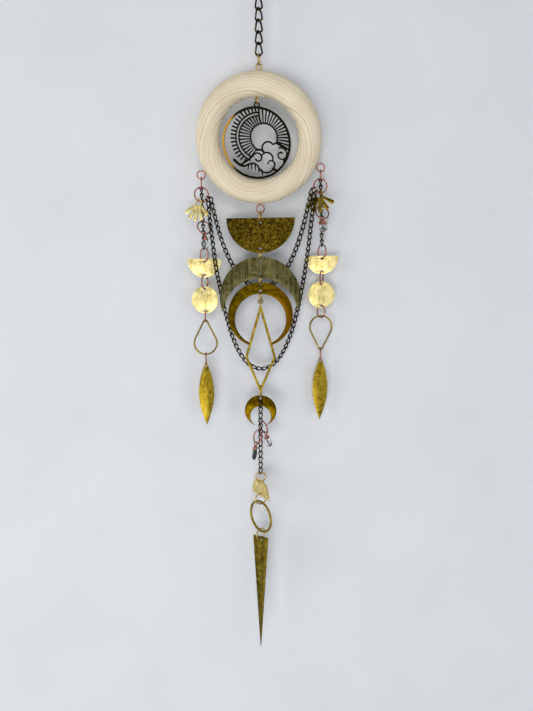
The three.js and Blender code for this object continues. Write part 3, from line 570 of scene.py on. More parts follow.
# The warm colour towards the mobile's right side is a painted reflection, not the brass's own tint.
CRESCENT_BRASS = brushed_sheet(
    "dark_polished_brass", "aged_brass",
    ((0.032, 0.020, 0.0004), (0.070, 0.045, 0.0008), (0.15, 0.095, 0.003)), 0.36, 0.25, 260,
    painted_right_sheen=(0.16, 0.072, 0.002))
SMALL_BRASS = brushed_sheet(
    "warm_polished_brass", "aged_brass",
    ((0.045, 0.025, 0.0002), (0.09, 0.052, 0.0004), (0.18, 0.11, 0.001)), 0.34, 0.25, 320)
SPIKE_BRASS = brushed_sheet(
    "dull_brass", "brass",
    ((0.06, 0.043, 0.003), (0.13, 0.094, 0.007), (0.27, 0.20, 0.03)), 0.38, 0.4, 300)
SATIN_BRASS = brushed_sheet(
    "satin_brass", "brass",
    ((0.50, 0.37, 0.10), (0.74, 0.58, 0.20), (0.92, 0.78, 0.38)), 0.38, 0.45, 240)
OLIVE = brushed_sheet(
    "olive_brushed_bronze", "olive_bronze",
    ((0.010, 0.009, 0.003), (0.026, 0.023, 0.007), (0.155, 0.14, 0.055)), 0.42, 0.9, 140, 1.2)
BRASS = brushed_sheet(
    "raw_brass", "brass",
    ((0.13, 0.088, 0.004), (0.27, 0.185, 0.011), (0.47, 0.335, 0.038)), 0.36, 0.35, 380)
PALE_BRASS = brushed_sheet(
    "pale_brushed_brass", "pale_brass",
    ((0.44, 0.31, 0.065), (0.80, 0.62, 0.19), (1.0, 0.90, 0.45)), 0.40, 0.9, 200, 1.6)
CHARM_BLACK = etched_charm()
PALE_CRYSTAL = clear_crystal("pale_blue_crystal", (0.88, 0.98, 1.0), 0.2)
CLEAR_CRYSTAL = clear_crystal("clear_quartz", (0.97, 0.96, 0.96), 0.04)
DARK_STONE = dark_glossy_stone()


# ---- wires, links and chains ----
def link_wire(link, yaw, hand, segments=44, sides=10):
    """One curb link about its middle, twisted a quarter turn from end to end."""
    bend = (link["width"] - link["wire"]) / 2
    reach = (link["length"] - link["wire"]) / 2
    straight = reach - bend
    quarter = segments // 4
    path = np.vstack((
        arc(0, straight, bend, 0, 180, 2 * quarter),
        arc(0, -straight, bend, 180, 360, 2 * quarter),
    ))
    twist = np.radians(yaw + hand * 45 * path[:, 1] / reach)
    points = np.column_stack((path[:, 0] * np.cos(twist), path[:, 0] * np.sin(twist), path[:, 1]))
    side = np.column_stack((-np.sin(twist), np.cos(twist), np.zeros(len(twist))))
    return tube(points, side, link["wire"] / 2, sides, True)


def pitch_of(link):
    return link["length"] - LINK_LAP * link["wire"]


def hanging_chain(link, count, yaw, hand, sides=10):
    return joined([
        moved(link_wire(link, yaw, hand, sides=sides), at((0, 0, -n * pitch_of(link))))
        for n in range(count)
    ])


def first_link(node, link):
    """Middle of a chain's first link, from its CAD box."""
    lo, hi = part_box(node)
    return Vector(((lo.x + hi.x) / 2 / MM, (lo.y + hi.y) / 2 / MM, hi.z / MM - link["length"] / 2))


def jump_ring(node, yaw, metal, seam, tilt=0):
    radius = RING_RADIUS.get(node, COPPER_RING if metal is COPPER else GOLD_RING)
    matrix = at(centre(node), turned_z(yaw), turned_x(-tilt))
    make(node, ring(radius, WIRE, seam=seam), matrix, metal)


# ---- hanging chain, wooden ring and screw eyes ----
def hanger():
    loop = ring(*HANGER, 72, 14)
    make("hanging_ring", loop, at(centre("hanging_ring"), turned_z(HANGER_YAW)), BRONZE)
    top = first_link("top_chain", TOP_LINK)
    make("top_chain", hanging_chain(TOP_LINK, TOP_LINKS, TOP_YAW, 1, 12), at(top), BRONZE)
    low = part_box("top_chain")[0].z / MM + GOLD_RING + WIRE
    matrix = at((top.x, top.y, low), turned_z(TOP_RING_YAW))
    make("top_jump_ring", ring(GOLD_RING, WIRE, seam=TOP_RING_SEAM), matrix, GOLD, ["top_chain"])


def wooden_ring():
    """The turned ring: its section is a squarish oval that swells very slightly along the ring."""
    def squared(value):
        return np.sign(value) * np.abs(value) ** WOOD_SQUARE

    turns = np.linspace(0, 2 * math.pi, 56, endpoint=False)
    profile = np.column_stack((
        WOOD_RADIUS + WOOD_BAND * squared(np.cos(turns)),
        -WOOD_DEPTH * squared(np.sin(turns)),
    ))
    points, faces = lathe(profile, 200)
    wave = 0.10 * np.sin(points[:, 0] * 0.11 + 1.3) * np.sin(points[:, 2] * 0.09)
    points[:, 1] *= 1 - 0.012 + 0.01 * wave
    make("wooden_ring", (points, faces), at(WOOD_MIDDLE, turned_z(WOOD_YAW)), WOOD, crease=60)


def screw_eye(name, degrees, radius, side, metal, turn=0):
    """A screw eye at degrees round the wood: a short threaded shank and the wire's open loop.

    side is 1 on the wood's outer rim and -1 on the inner one.
    """
    rim = WOOD_RADIUS + side * WOOD_BAND
    reach = rim + side * (radius + WIRE + GAP)
    angle = math.radians(degrees)
    place = Vector((reach * math.cos(angle), 0, reach * math.sin(angle)))
    loop = flat(arc(0, 0, radius, -58, 262, 44))
    neck = np.array([(0, 0, -radius - 1.2), (0.1, 0, -radius - 0.7), (0.55, 0, -radius - 0.1)])
    bent = tube(np.vstack((neck, loop)), (0, 1, 0), WIRE, 12)
    count = 60
    turns = np.linspace(0, 1, count)
    thread = 0.55 + 0.07 * np.sin(turns * count * 1.2)
    down = -radius - 0.6 - turns * (SHANK + GAP - 0.3)
    shank_path = np.column_stack((np.zeros(count), np.zeros(count), down))
    shank = tube(shank_path, (1, 0, 0), thread * (1 - 0.3 * turns ** 6), 12)
    solid = joined([moved(bent, turned_z(turn)), shank])
    facing = 90 - degrees + (0 if side > 0 else 180)
    matrix = at(WOOD_MIDDLE, turned_z(WOOD_YAW)) @ at(place, turned_y(facing))
    make(name, solid, matrix, metal, crease=50)


# ---- charm ----
SUN = (0.205, 0.159, 0.388)
MOON_IN = (0.07, 0.155, 0.59)
MOON_OUT = (0.085, 0.145, 0.69)


def stroke(points, width, width_end=None):
    """A flat line of the charm, in units of its radius, with round ends."""
    points = np.asarray(points, float)
    half = np.linspace(width, width if width_end is None else width_end, len(points)) / 2
    along = np.gradient(points, axis=0)
    along /= np.linalg.norm(along, axis=1)[:, None]
    off = np.column_stack((-along[:, 1], along[:, 0])) * half[:, None]
    heading = math.degrees(math.atan2(along[-1, 1], along[-1, 0]))
    tail = math.degrees(math.atan2(along[0, 1], along[0, 0]))
    outline = np.vstack((
        points - off,
        arc(*points[-1], half[-1], heading - 90, heading + 90, 8)[1:-1],
        (points + off)[::-1],
        arc(*points[0], half[0], tail + 90, tail + 270, 8)[1:-1],
    ))
    return plate(outline * CHARM_RADIUS, (), CHARM_SHEET, CHARM_EDGE)


def rim_hoop(radius, width):
    outer = arc(0, 0, radius + width / 2, 0, 360, 120)[:-1] * CHARM_RADIUS
    hole = (0, 0, (radius - width / 2) * CHARM_RADIUS)
    return plate(outer, [hole], CHARM_SHEET, CHARM_EDGE)


def curl(x, y, start, end, first, last, steps=24):
    t = np.linspace(0, 1, steps + 1)
    turn = np.radians(start + (end - start) * t)
    radius = first + (last - first) * t
    return np.column_stack((x + radius * np.cos(turn), y + radius * np.sin(turn)))


def reach_to(circle, x, y, turn):
    """Distance from a point inside a circle to the circle, along a direction."""
    dx, dy = x - circle[0], y - circle[1]
    along = dx * math.cos(turn) + dy * math.sin(turn)
    return -along + math.sqrt(along * along - dx * dx - dy * dy + circle[2] ** 2)


def radial(x, y, first, last, turn):
    return [(x + r * math.cos(turn), y + r * math.sin(turn)) for r in np.linspace(first, last, 4)]


def curve_through(points):
    """A smooth line through points, as a Catmull-Rom curve."""
    steps = 30
    p = np.asarray([points[0], *points, points[-1]], float)
    made = []
    spans = len(points) - 1
    for i in range(steps + 1):
        at_span = min(int(i * spans / steps), spans - 1)
        t = i * spans / steps - at_span
        a, b, c, d = p[at_span:at_span + 4]
        made.append(0.5 * (2 * b + (c - a) * t + (2 * a - 5 * b + 4 * c - d) * t ** 2
                           + (3 * b - a - 3 * c + d) * t ** 3))
    return np.array(made)


def rays(source, target, count, first, step, *widths):
    """Strokes from the circle source to the circle target, step degrees apart."""
    made = []
    for n in range(count):
        turn = math.radians(first + n * step)
        made.append(stroke(radial(*source, reach_to(target, *source[:2], turn), turn), *widths))
    return made


def charm_strokes():
    line, rim_width = 0.042, 0.06
    rim = (0, 0, 1 - rim_width / 2)
    parts = [rim_hoop(rim[2], rim_width), stroke(arc(*SUN, -22, 248, 60), line)]
    parts.append(stroke(curve_through([(0.055, 0.96), (0.07, 0.72), (0.12, 0.53)]), 0.05))
    parts += rays(SUN, rim, 15, 93, -8.3, 0.03, 0.05)
    parts += rays(SUN, MOON_IN, 16, 113, 8.2, 0.026, 0.046)
    parts.append(stroke(arc(*MOON_IN, 92, 245, 50), line))
    parts.append(stroke(arc(*MOON_OUT, 94, 246, 50), line))
    for n in range(19):
        turn = math.radians(99 + n * 7.6)
        far = reach_to(rim, MOON_OUT[0], MOON_OUT[1], turn)
        end = far if n < 5 else min(MOON_OUT[2] + 0.14, far)
        parts.append(stroke(radial(*MOON_OUT, end, turn), 0.04, 0.05))
    return parts + cloud_strokes()


def cloud_strokes():
    def curled(width, *facts):
        return stroke(curl(*facts), width)

    def swept(width, *points):
        return stroke(curve_through(points), width)

    parts = [
        curled(0.05, 0.335, -0.125, 215, 40, 0.185, 0.165),
        curled(0.045, 0.6, -0.12, 140, 65, 0.15, 0.13),
        swept(0.04, (0.64, 0), (0.8, -0.07), (0.96, -0.17)),
        swept(0.05, (-0.04, -0.21), (0.08, -0.18), (0.2, -0.23)),
        curled(0.042, 0.72, -0.3, 60, 470, 0.05, 0.2, 60),
        swept(0.042, (0.78, -0.48), (0.83, -0.46), (0.88, -0.42)),
        curled(0.045, 0.03, -0.41, 165, -150, 0.15, 0.075, 40),
        swept(0.05, (-0.45, -0.6), (-0.27, -0.49), (-0.1, -0.34)),
        swept(0.05, (-0.2, -0.41), (-0.14, -0.38), (-0.09, -0.33)),
        curled(0.045, 0.3, -0.43, 150, -10, 0.18, 0.17),
        curled(0.042, 0.41, -0.58, 175, 0, 0.09, 0.115),
        curled(0.05, 0.275, -0.56, 5, -165, 0.25, 0.26),
        stroke([(0.47, -0.7), (0.54, -0.73), (0.62, -0.76)], 0.07),
    ]
    tail = [(0.03, -0.63), (-0.1, -0.565), (-0.24, -0.6),
            (-0.38, -0.65), (-0.52, -0.6), (-0.66, -0.49)]
    parts.append(stroke(curve_through(tail), 0.04, 0.08))
    for n in range(5):
        x = -0.24 + n * 0.095
        top = -0.585 - 0.035 * max(n - 1, 0) * (n - 1) * 0.5
        end = (x - 0.02 + n * 0.012, top - 0.15)
        parts.append(stroke([(x, top), ((x + end[0]) / 2, (top + end[1]) / 2), end], 0.045, 0.03))
    return parts


def sun_charm():
    """The strokes are fused by a fine remesh, which also rounds their stamped edges."""
    lift = CHARM_RADIUS + CHARM_LOOP - 0.5
    parts = charm_strokes()
    parts.append(moved(ring(CHARM_LOOP, WIRE, 40, 10), at((0, 0, lift))))
    box_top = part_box("sun_charm")[1].z / MM
    middle = centre("sun_charm")
    origin = (middle.x, middle.y, box_top - lift - CHARM_LOOP - WIRE)
    made = make("sun_charm", joined(parts), at(origin, turned_z(CHARM_YAW)), CHARM_BLACK)
    fuse = made.modifiers.new("fuse", "REMESH")
    fuse.mode = "VOXEL"
    fuse.voxel_size = CHARM_VOXEL * MM
    ease = made.modifiers.new("ease", "SMOOTH")
    ease.factor = 0.5
    ease.iterations = 3
    bake_modifiers(made)


def bake_modifiers(made):
    """Writes a piece's modifiers into its own mesh."""
    graph = bpy.context.evaluated_depsgraph_get()
    final = bpy.data.meshes.new_from_object(made.evaluated_get(graph), depsgraph=graph)
    made.modifiers.clear()
    made.data = final
    final.polygons.foreach_set("use_smooth", [True] * len(final.polygons))


# ---- stamped pieces: outline, holes and bearing heights, as in the CAD ----
def half_circle(radius, height, low_inset):
    """A half circle whose straight side lies on top, a little above the middle where it's tall."""
    rise = height - radius
    start = math.degrees(math.asin(rise / radius))
    outline = arc(0, 0, radius, 180 - start, 360 + start, 80)
    return outline, [(0, rise - low_inset, HOLE), (0, low_inset - radius, HOLE)]


def crescent(size):
    """A circle less a lower circle.  mouth is half the gap where the tips are cut short."""
    outer, inner, drop = size["outer"], size["inner"], size["drop"]
    mouth = size.get("mouth")
    if mouth:
        outer_end = math.asin(mouth / outer)
        inner_end = math.pi - math.asin(mouth / inner)
    else:
        tip = (drop ** 2 + outer ** 2 - inner ** 2) / (2 * drop)
        outer_end = math.acos(min(tip / outer, 1))
        inner_end = math.atan2(outer * math.sin(outer_end), drop - outer * math.cos(outer_end))
    lap = math.degrees(outer_end) - 90
    back = 90 - math.degrees(inner_end)
    inside = arc(0, -drop, inner, 180 - back, back, 90)
    outline = np.vstack((arc(0, 0, outer, lap, 180 - lap, 110), inside if mouth else inside[1:-1]))
    holes = [(0, outer - size["hole"], HOLE)]
    if "lower_hole" in size:
        holes.append((0, inner - drop + size["lower_hole"], HOLE))
    return outline, holes


def stamped(node, shape, yaw, finish, over=False):
    """A stamped piece, its outline's box on the CAD node's.  over turns it upside down."""
    outline, holes = shape
    if over:
        outline = outline * (1, -1)
        holes = [(x, -z, r) for x, z, r in holes]
    middle = centre(node)
    low, high = outline[:, 1].min(), outline[:, 1].max()
    lift = middle.z - (low + high) / 2
    across = (outline[:, 0].min() + outline[:, 0].max()) / 2
    matrix = at((middle.x, middle.y, lift), turned_z(yaw), Matrix.Translation((-across, 0, 0)))
    make(node, plate(outline, holes), matrix, finish)


def disc_shape():
    hole = DISC_RADIUS - DISC_INSET
    return arc(0, 0, DISC_RADIUS, 0, 360, 96)[:-1], [(0, hole, HOLE), (0, -hole, HOLE)]


def leaf_shape():
    width, length = LEAF
    t = np.linspace(0, 1, 61)
    across = width / 2 * np.sin(np.pi * t) ** 0.95
    height = length * (0.5 - t)
    right = np.column_stack((across, height))[1:-1][::-1]
    left = np.column_stack((-across, height))
    return np.vstack((left, right)), [(0, length / 2 - LEAF_INSET, LEAF_HOLE)]


def spike_shape():
    wide, length, tip = SPIKE["width"] / 2, SPIKE["length"], SPIKE["tip"] / 2
    outline = np.array([(-wide, 0), (-tip, -length), (tip, -length), (wide, 0)])
    return outline, [(0, -SPIKE["inset"], HOLE)]


def fan_shape(roll):
    """Five rays about a pierced hub, drawn as one outline round the hub's top."""
    ray, hub, root, end = FAN["ray"], FAN["hub"], FAN["root"], FAN["end"]
    spread = math.radians(FAN["spread"])
    tip = ((1, 0.75), (0.93, 0.35), (0, 0), (-0.93, 0.35), (-1, 0.75))
    grow = (end - root) / (ray - 0.5 - hub * 0.8)
    notch = (root - grow * hub * 0.8) / (2 * math.sin(spread / 2) - grow)
    outline = []
    for n in (-2, -1, 0, 1, 2):
        middle = -math.pi / 2 + n * spread + math.radians(-roll)
        out = np.array((math.cos(middle), math.sin(middle)))
        left = np.array((out[1], -out[0]))
        if n == -2:
            outline.append(left * root / 2 + out * hub * 0.85)
        for side, short in tip:
            outline.append(left * side * end / 2 + out * (ray - short))
        if n < 2:
            gap = middle + spread / 2
            outline.append(notch * np.array((math.cos(gap), math.sin(gap))))
        else:
            outline.append(-left * root / 2 + out * hub * 0.85)
    first = math.degrees(math.atan2(outline[-1][1], outline[-1][0]))
    last = math.degrees(math.atan2(outline[0][1], outline[0][0]))
    cap = arc(0, 0, hub, first + 12, last - 12 + 360 if last < first else last - 12, 30)
    return np.vstack((np.array(outline), cap)), [(0, 0, FAN["hole"])]


def kite():
    """Four flat bars, mitred at the corners, that lean back from a wire loop."""
    half, up, down, bar = KITE["half"], KITE["up"], KITE["down"], KITE["bar"]
    side = bar / math.sin(math.atan2(up, half))
    apex = bar / math.sin(math.atan2(half, up))
    foot = bar / math.sin(math.atan2(half, down))
    outer = np.array([(0, up), (-half, 0), (0, -down), (half, 0)], float)
    inner = np.array([(0, up - apex), (side - half, 0), (0, foot - down), (half - side, 0)], float)
    levels = edge_levels(KITE["depth"] / 2, KITE_EDGE)
    loops = [flat(inset(outer, share * KITE_EDGE), y) for share, y in levels]
    loops += [flat(inset(inner, -share * KITE_EDGE), y) for share, y in levels[::-1]]
    faces = []
    for level in range(len(loops)):
        faces += band(level * 4, (level + 1) % len(loops) * 4, 4)
    loop_z = up + KITE["loop"] - 0.5
    bars = (np.vstack(loops), faces)
    eye = moved(ring(KITE["loop"], WIRE, 40, 12), at((0, 0, loop_z)))
    top = loop_z + KITE["loop"] - WIRE
    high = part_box("kite")[1].z / MM - WIRE - 0.02
    hang = Vector((centre("kite").x, centre("mid_crescent").y, high))
    matrix = at(hang, turned_x(-KITE["lean"]), Matrix.Translation((0, 0, -top)))
    make("kite", joined([bars, eye]), matrix, BRASS)


def teardrop(node, yaw, over):
    width, length, thick, point = TEAR["width"], TEAR["length"], TEAR["wire"], TEAR["point"]
    bend = width / 2 - thick
    rise = length - 2 * thick - bend - point
    lean = math.degrees(math.asin((bend - point) / rise))
    low = arc(0, 0, bend, 180 - lean, 360 + lean, 60)
    high = arc(0, rise, point, lean, 180 - lean, 14)
    straight = np.linspace(low[-1], high[0], 12)[1:-1]
    back = np.linspace(high[-1], low[0], 12)[1:-1]
    path = np.vstack((low, straight, high, back))
    path[:, 1] -= (path[:, 1].max() + path[:, 1].min()) / 2
    if over:
        path[:, 1] *= -1
    make(node, tube(flat(path), (0, 1, 0), thick, 12, True), at(centre(node), turned_z(yaw)), BRASS)


# ---- wrapped stones ----
def chip(wide, tall, seed, facets, cut):
    """A tumbled chip: a lumpy egg with flats ground at chosen angles."""
    made = bmesh.new()
    bmesh.ops.create_icosphere(made, subdivisions=5, radius=1)
    points = np.array([v.co for v in made.verts], float)
    faces = [tuple(v.index for v in f.verts) for f in made.faces]
    made.free()
    chance = random.Random(seed)
    lump = 1 + 0.07 * np.sin(3 * points[:, 0] + 2 * points[:, 2]) * np.cos(2.5 * points[:, 1])
    points = points * lump[:, None]
    for _ in range(facets):
        normal = np.array([chance.gauss(0, 1) for _ in range(3)])
        normal /= np.linalg.norm(normal)
        limit = cut + 0.12 * chance.random()
        over = np.maximum(points @ normal - limit, 0)
        points = points - normal * over[:, None] * 0.93
    return points * (wide * STONE["depth"], wide / 2, tall / 2), faces


def wrap_wire(bow):
    """Copper loop and coil above a stone, the cut end tucked round.  bow adds two side loops."""
    loop, wrap, length, thick = STONE["loop"], STONE["wrap"], STONE["wrap_length"], STONE_WIRE
    parts = [ring(loop, thick, 36, 10)]
    t = np.linspace(0, 1, 150)
    angle = t * STONE_COILS * 2 * math.pi
    radius = (wrap - thick) * (0.34 + 0.66 * smooth_step(t / 0.9))
    drop = -loop - 0.1 - t * length
    path = np.column_stack((radius * np.cos(angle), radius * np.sin(angle), drop))
    parts.append(tube(path, (0, 0, 1), thick, 8))
    under = -loop - 0.1 - length
    s = np.linspace(0, 1, 70)
    tuck = s * 2.2 * math.pi + 0.8
    wide = (wrap - thick) * (1.05 + 0.1 * np.sin(3 * tuck))
    slack = np.column_stack((
        wide * np.cos(tuck), wide * np.sin(tuck), under + 0.9 + 0.55 * np.sin(tuck * 2.3),
    ))
    parts.append(tube(slack, (0, 0, 1), thick * 0.9, 8))
    if bow:
        for side in (-1, 1):
            a = np.linspace(-0.35, 1.35, 40) * math.pi
            leaf_x = side * (1.9 + 1.35 * np.cos(a))
            leaf_z = -loop - 1.3 + 1.25 * np.sin(a) * (1 + 0.12 * side)
            path = np.column_stack((0.5 + 0.25 * np.cos(a), leaf_x, leaf_z))
            parts.append(tube(path, (1, 0, 0), thick * 0.9, 8))
    return joined(parts)


def stone_drop(prefix, pose, size, finish, seed, bow=False, facets=9, cut=0.74):
    """A ring hooked in the chain and the wrapped stone that hangs from the ring's lowest point."""
    yaw, tilt, lean = pose
    ring_node, drop_node = f"{prefix}_ring", f"{prefix}_drop"
    jump_ring(ring_node, yaw, COPPER, STONE_SEAM, tilt)
    out = (turned_z(yaw) @ turned_x(-tilt)) @ Vector((0, 0, -COPPER_RING))
    low = centre(ring_node) + out + Vector((0, 0, WIRE + GAP))
    hook = Matrix.Translation((0, 0, 0.4 - STONE["loop"]))
    matrix = at(low, turned_y(-lean), turned_z(yaw + 90), hook)
    wide, tall = size
    below = 0.35 - STONE["loop"] - STONE["wrap_length"] - tall / 2 + 0.8
    stone = moved(chip(wide, tall, seed, facets, cut), at((0, 0, below)))
    make(drop_node, stone, matrix, finish, crease=25)
    make(f"{prefix}_wrap", wrap_wire(bow), matrix, COPPER, [drop_node], 60)


# ---- strands ----
def centre_strand():
    for n, (yaw, seam) in enumerate(zip(CENTRE_YAWS, CENTRE_SEAMS), 1):
        jump_ring(f"centre_ring_{n}", yaw, GOLD, seam)
    stamped("large_half_moon", half_circle(*HALF_MOON), HALF_MOON_YAW, MOTTLED)
    stamped("big_crescent", crescent(BIG_CRESCENT), 0, OLIVE)
    stamped("mid_crescent", crescent(MID_CRESCENT), 0, CRESCENT_BRASS)
    kite()
    stamped("small_crescent", crescent(SMALL_CRESCENT), SMALL_CRESCENT_YAW, SMALL_BRASS)
    top = first_link("centre_chain", FINE_LINK)
    make("centre_chain", hanging_chain(FINE_LINK, CENTRE_LINKS, FINE_YAW, -1), at(top), BRONZE)
    square = FINE_YAW - 90
    stone_drop("crystal", (square, -15, 18), (7.6, 8.4), CLEAR_CRYSTAL, 3)
    stone_drop("dark_stone", (square, 15, -8), (5.4, 10.4), DARK_STONE, 11, facets=7, cut=0.8)
    stamped("small_half_circle", half_circle(*HALF_CIRCLE), HALF_CIRCLE_YAW, SATIN_BRASS, True)
    make("round_hoop", ring(*HOOP, 96, 14), at(centre("round_hoop"), turned_z(HOOP_YAW)), BRASS)
    stamped("long_spike", spike_shape(), SPIKE_YAW, SPIKE_BRASS)


def on_ring(middle, yaw, radius, turn):
    """The point of a ring that lies turn degrees past its lowest point."""
    angle = math.radians(turn)
    return middle + turned_z(yaw) @ Vector((radius * math.sin(angle), 0, -radius * math.cos(angle)))


def side_strand(side, size):
    """From the screw eye down: rings, fan, chain and stone, half circle, disc, teardrop, leaf."""
    for letter, yaw, seam in zip("abcdef", size["rings"], SIDE_SEAMS):
        jump_ring(f"{side}_ring_{letter}", yaw, COPPER, seam)
    middle = centre(f"{side}_ring_b")
    hub = on_ring(middle, size["rings"][1], COPPER_RING, size["fan_turn"])
    hub += Vector((0, 0, WIRE + GAP))
    hook = Matrix.Translation((0, 0, -FAN["hole"]))
    matrix = at(hub, turned_z(size["fan"]), turned_x(-FAN["tilt"]), hook)
    make(f"{side}_fan", plate(*fan_shape(size["fan_roll"])), matrix,
         PALE_BRASS if side == "left" else BRASS)
    lo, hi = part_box(f"{side}_chain")
    run = (size["links"] - 1) * pitch_of(FINE_LINK)
    slant = math.degrees(math.asin(size["slant"] / (run + FINE_LINK["length"])))
    top = Vector((centre(f"{side}_chain").x - size["slant"] / 2, (lo.y + hi.y) / 2 / MM, hi.z / MM))
    matrix = at(top, turned_y(-slant), Matrix.Translation((0, 0, -FINE_LINK["length"] / 2)))
    make(f"{side}_chain", hanging_chain(FINE_LINK, size["links"], size["chain"], 1), matrix, BRONZE)
    stone_drop(f"{side}_stone", (size["stone_yaw"], STONE_TILT, 0), size["stone"], PALE_CRYSTAL,
               size["seed"], side == "right")
    stamped(f"{side}_half_circle", half_circle(*HALF_CIRCLE), size["half"], PALE_BRASS)
    stamped(f"{side}_disc", disc_shape(), size["disc"], PALE_BRASS)
    teardrop(f"{side}_teardrop", size["tear"], side == "right")
    stamped(f"{side}_leaf", leaf_shape(), size["leaf"], BRASS)
    return middle


# ---- swag chains ----
def catenary(x0, z0, x1, z1, low):
    """Stretch and middle of the hanging curve through two ends that reaches down to low."""
    small, large = 2.0, 400.0
    for _ in range(80):
        stretch = (small + large) / 2
        left = stretch * math.acosh((z0 - low) / stretch + 1)
        right = stretch * math.acosh((z1 - low) / stretch + 1)
        if left + right > x1 - x0:
            large = stretch
        else:
            small = stretch
    return stretch, x0 + left


def swag_end(middle, yaw, turn):
    """The end link, square to the big ring's wire, and the point where the chain leaves it."""
    link, wire = SWAG_EYE
    inner = COPPER_RING - WIRE - GAP - wire
    place = on_ring(middle, yaw, inner + link, turn)
    eye = moved(ring(link, wire, 32, 10), at(place, turned_z(yaw), turned_y(-turn), turned_z(90)))
    return eye, on_ring(middle, yaw, inner + 2 * link, turn)


def swag(name, middles, turn, front_high, back_low, fronts):
    """Curb links laid along the swag, each twisted a quarter turn like those of the strands."""
    left_eye, start = swag_end(middles[0], SIDES["left"]["rings"][1], turn)
    right_eye, end = swag_end(middles[1], SIDES["right"]["rings"][1], -turn)
    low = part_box(name)[0].z / MM + SWAG_RADIUS
    stretch, mid = catenary(start.x, start.z, end.x, end.z, low)
    wood = WOOD_MIDDLE.z

    def point(s):
        x = mid + stretch * math.asinh(s)
        z = low + stretch * (math.cosh((x - mid) / stretch) - 1)
        left = x < mid
        hook = start if left else end
        front = fronts[0] if left else fronts[1]
        near = hook.y + (front - hook.y) * smooth_step((hook.z - z) / SWAG_DIP)
        back = smooth_step((wood + front_high - z) / (front_high - back_low))
        return Vector((x, near + (SWAG_BACK - near) * back, z))

    first = math.sinh((start.x - mid) / stretch)
    last = math.sinh((end.x - mid) / stretch)
    fine = [point(first + (last - first) * i / 800) for i in range(801)]
    runs = [0.0]
    for a, b in zip(fine, fine[1:]):
        runs.append(runs[-1] + (b - a).length)
    count = round(runs[-1] / pitch_of(SWAG_LINK))
    pitch = runs[-1] / count
    parts = [left_eye, right_eye]
    for n in range(count):
        here = np.interp((n + 0.5) * pitch, runs, range(801))
        before = fine[max(int(here) - 3, 0)]
        after = fine[min(int(here) + 4, 800)]
        spot = fine[int(here)].lerp(fine[min(int(here) + 1, 800)], here - int(here))
        along = (after - before).normalized()
        across = Vector((0, 1, 0)).cross(along).normalized()
        basis = Matrix((across, along.cross(across), along)).transposed().to_4x4()
        sway = 38 + 9 * math.sin(n * 0.37)
        parts.append(moved(link_wire(SWAG_LINK, sway, 1, 24, 7), Matrix.Translation(spot) @ basis))
    make(name, joined(parts), Matrix.Identity(4), BRONZE, crease=60)


# ---- surroundings ----
def plane(name, corners, material):
    mesh = bpy.data.meshes.new(name)
    mesh.from_pydata(corners, [], [(0, 1, 2, 3)])
    mesh.materials.append(material)
    new_object(name, mesh)


def wall_paint():
    """Pale painted board, see-through from behind so that the back can be looked at."""
    paint = Paint("painted_wall")
    paint.set(Roughness=0.75)
    grain = paint.noise(1.0, 3, 0.6, paint.mapped((900, 900, 1500)))
    wide = paint.noise(14, 2, 0.5)
    paint.colour(paint.mix(paint.span(wide, 0.0, 1.0), (0.70, 0.73, 0.775), (0.735, 0.76, 0.80)))
    paint.bump(grain, 0.25, 0.5)
    side = paint.node("NewGeometry").outputs["Backfacing"]
    clear = paint.node("BsdfTransparent").outputs["BSDF"]
    pick = paint.put(paint.node("MixShader"), {0: side, 1: paint.shader.outputs["BSDF"], 2: clear})
    paint.link(pick.outputs["Shader"], paint.tree.nodes["Material Output"].inputs["Surface"])
    return paint.material


def floor_paint():
    paint = Paint("pale_floor")
    paint.set(Roughness=0.8)
    wide = paint.span(paint.noise(9, 3), 0.0, 1.0)
    paint.colour(paint.mix(wide, (0.70, 0.72, 0.75), (0.74, 0.76, 0.79)))
    return paint.material


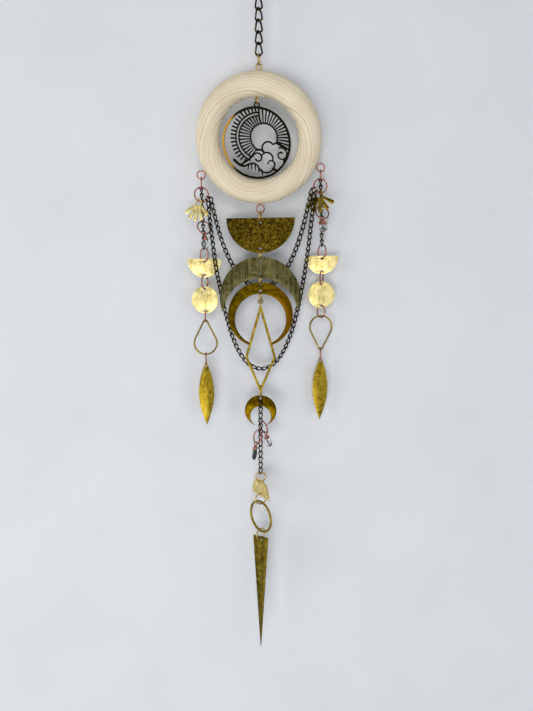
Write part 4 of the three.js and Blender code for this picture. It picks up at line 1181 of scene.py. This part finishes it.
def surroundings():
    back, floor = CAD_BOX[1].y + WALL_GAP, CAD_BOX[0].z - FLOOR_DROP
    wide, high = 1.1, 0.75
    corners = ((-wide, floor), (wide, floor), (wide, high), (-wide, high))
    plane("wall", [(x, back, z) for x, z in corners], wall_paint())
    corners = ((-3, -3), (3, -3), (3, 3), (-3, 3))
    plane("floor", [(x, y, floor) for x, y in corners], floor_paint())
    world = bpy.data.worlds.new("studio")
    world.use_nodes = True
    sky = world.node_tree.nodes["Background"].inputs
    sky["Color"].default_value = (0.78, 0.82, 0.88, 1)
    sky["Strength"].default_value = 0.26
    bpy.context.scene.world = world


def soft_light(name, place, target, width, height, power, colour):
    light = bpy.data.lights.new(name, "AREA")
    light.shape = "RECTANGLE"
    light.size, light.size_y = width, height
    light.energy = power
    light.color = colour
    made = new_object(name, light)
    made.location = place
    made.rotation_euler = (Vector(target) - Vector(place)).to_track_quat("-Z", "Y").to_euler()


def lights():
    middle = (CAD_BOX[0] + CAD_BOX[1]) / 2
    soft_light("key", (-0.35, -1.45, -0.9), middle, 1.1, 0.6, 10.2, (1.0, 0.98, 0.95))
    soft_light("front", (0.0, -1.2, 0.3), middle, 0.5, 0.5, 3.5, (1.0, 0.96, 0.90))
    soft_light("fill", (0.85, -0.95, -0.3), middle, 0.7, 0.9, 2.6, (0.97, 0.98, 1.0))
    soft_light("side", (-1.1, -0.6, -0.25), middle, 0.5, 0.8, 4.2, (1.0, 0.98, 0.95))


def camera():
    """The viewpoint: in front of the right edge of the strand, looking a little down."""
    reach, pitch = 0.4083, 8.31
    target = Vector((0.0054, 0, -0.2794))
    lens = bpy.data.cameras.new("camera")
    lens.lens, lens.sensor_width = 26.99, 36
    lens.clip_start = 0.01
    made = new_object("camera", lens)
    angle = math.radians(pitch)
    made.location = target + Vector((0, -math.cos(angle), math.sin(angle))) * reach
    made.rotation_euler = (target - made.location).to_track_quat("-Z", "Y").to_euler()
    bpy.context.scene.camera = made


camera()
surroundings()
lights()
bpy.context.scene.view_settings.view_transform = "Standard"

hanger()
wooden_ring()
screw_eye("top_screw_eye", 90, EYE_SMALL, 1, GOLD)
screw_eye("charm_screw_eye", 93.5, EYE_SMALL, -1, GOLD, 72)
screw_eye("left_screw_eye", 211.7, EYE, 1, COPPER)
screw_eye("right_screw_eye", -23.5, EYE, 1, COPPER)
screw_eye("bottom_screw_eye", -89, EYE, 1, COPPER)
sun_charm()
centre_strand()
BIG_RINGS = [side_strand(side, size) for side, size in SIDES.items()]
for swag_name, swag_facts in SWAGS.items():
    swag(swag_name, BIG_RINGS, **swag_facts)
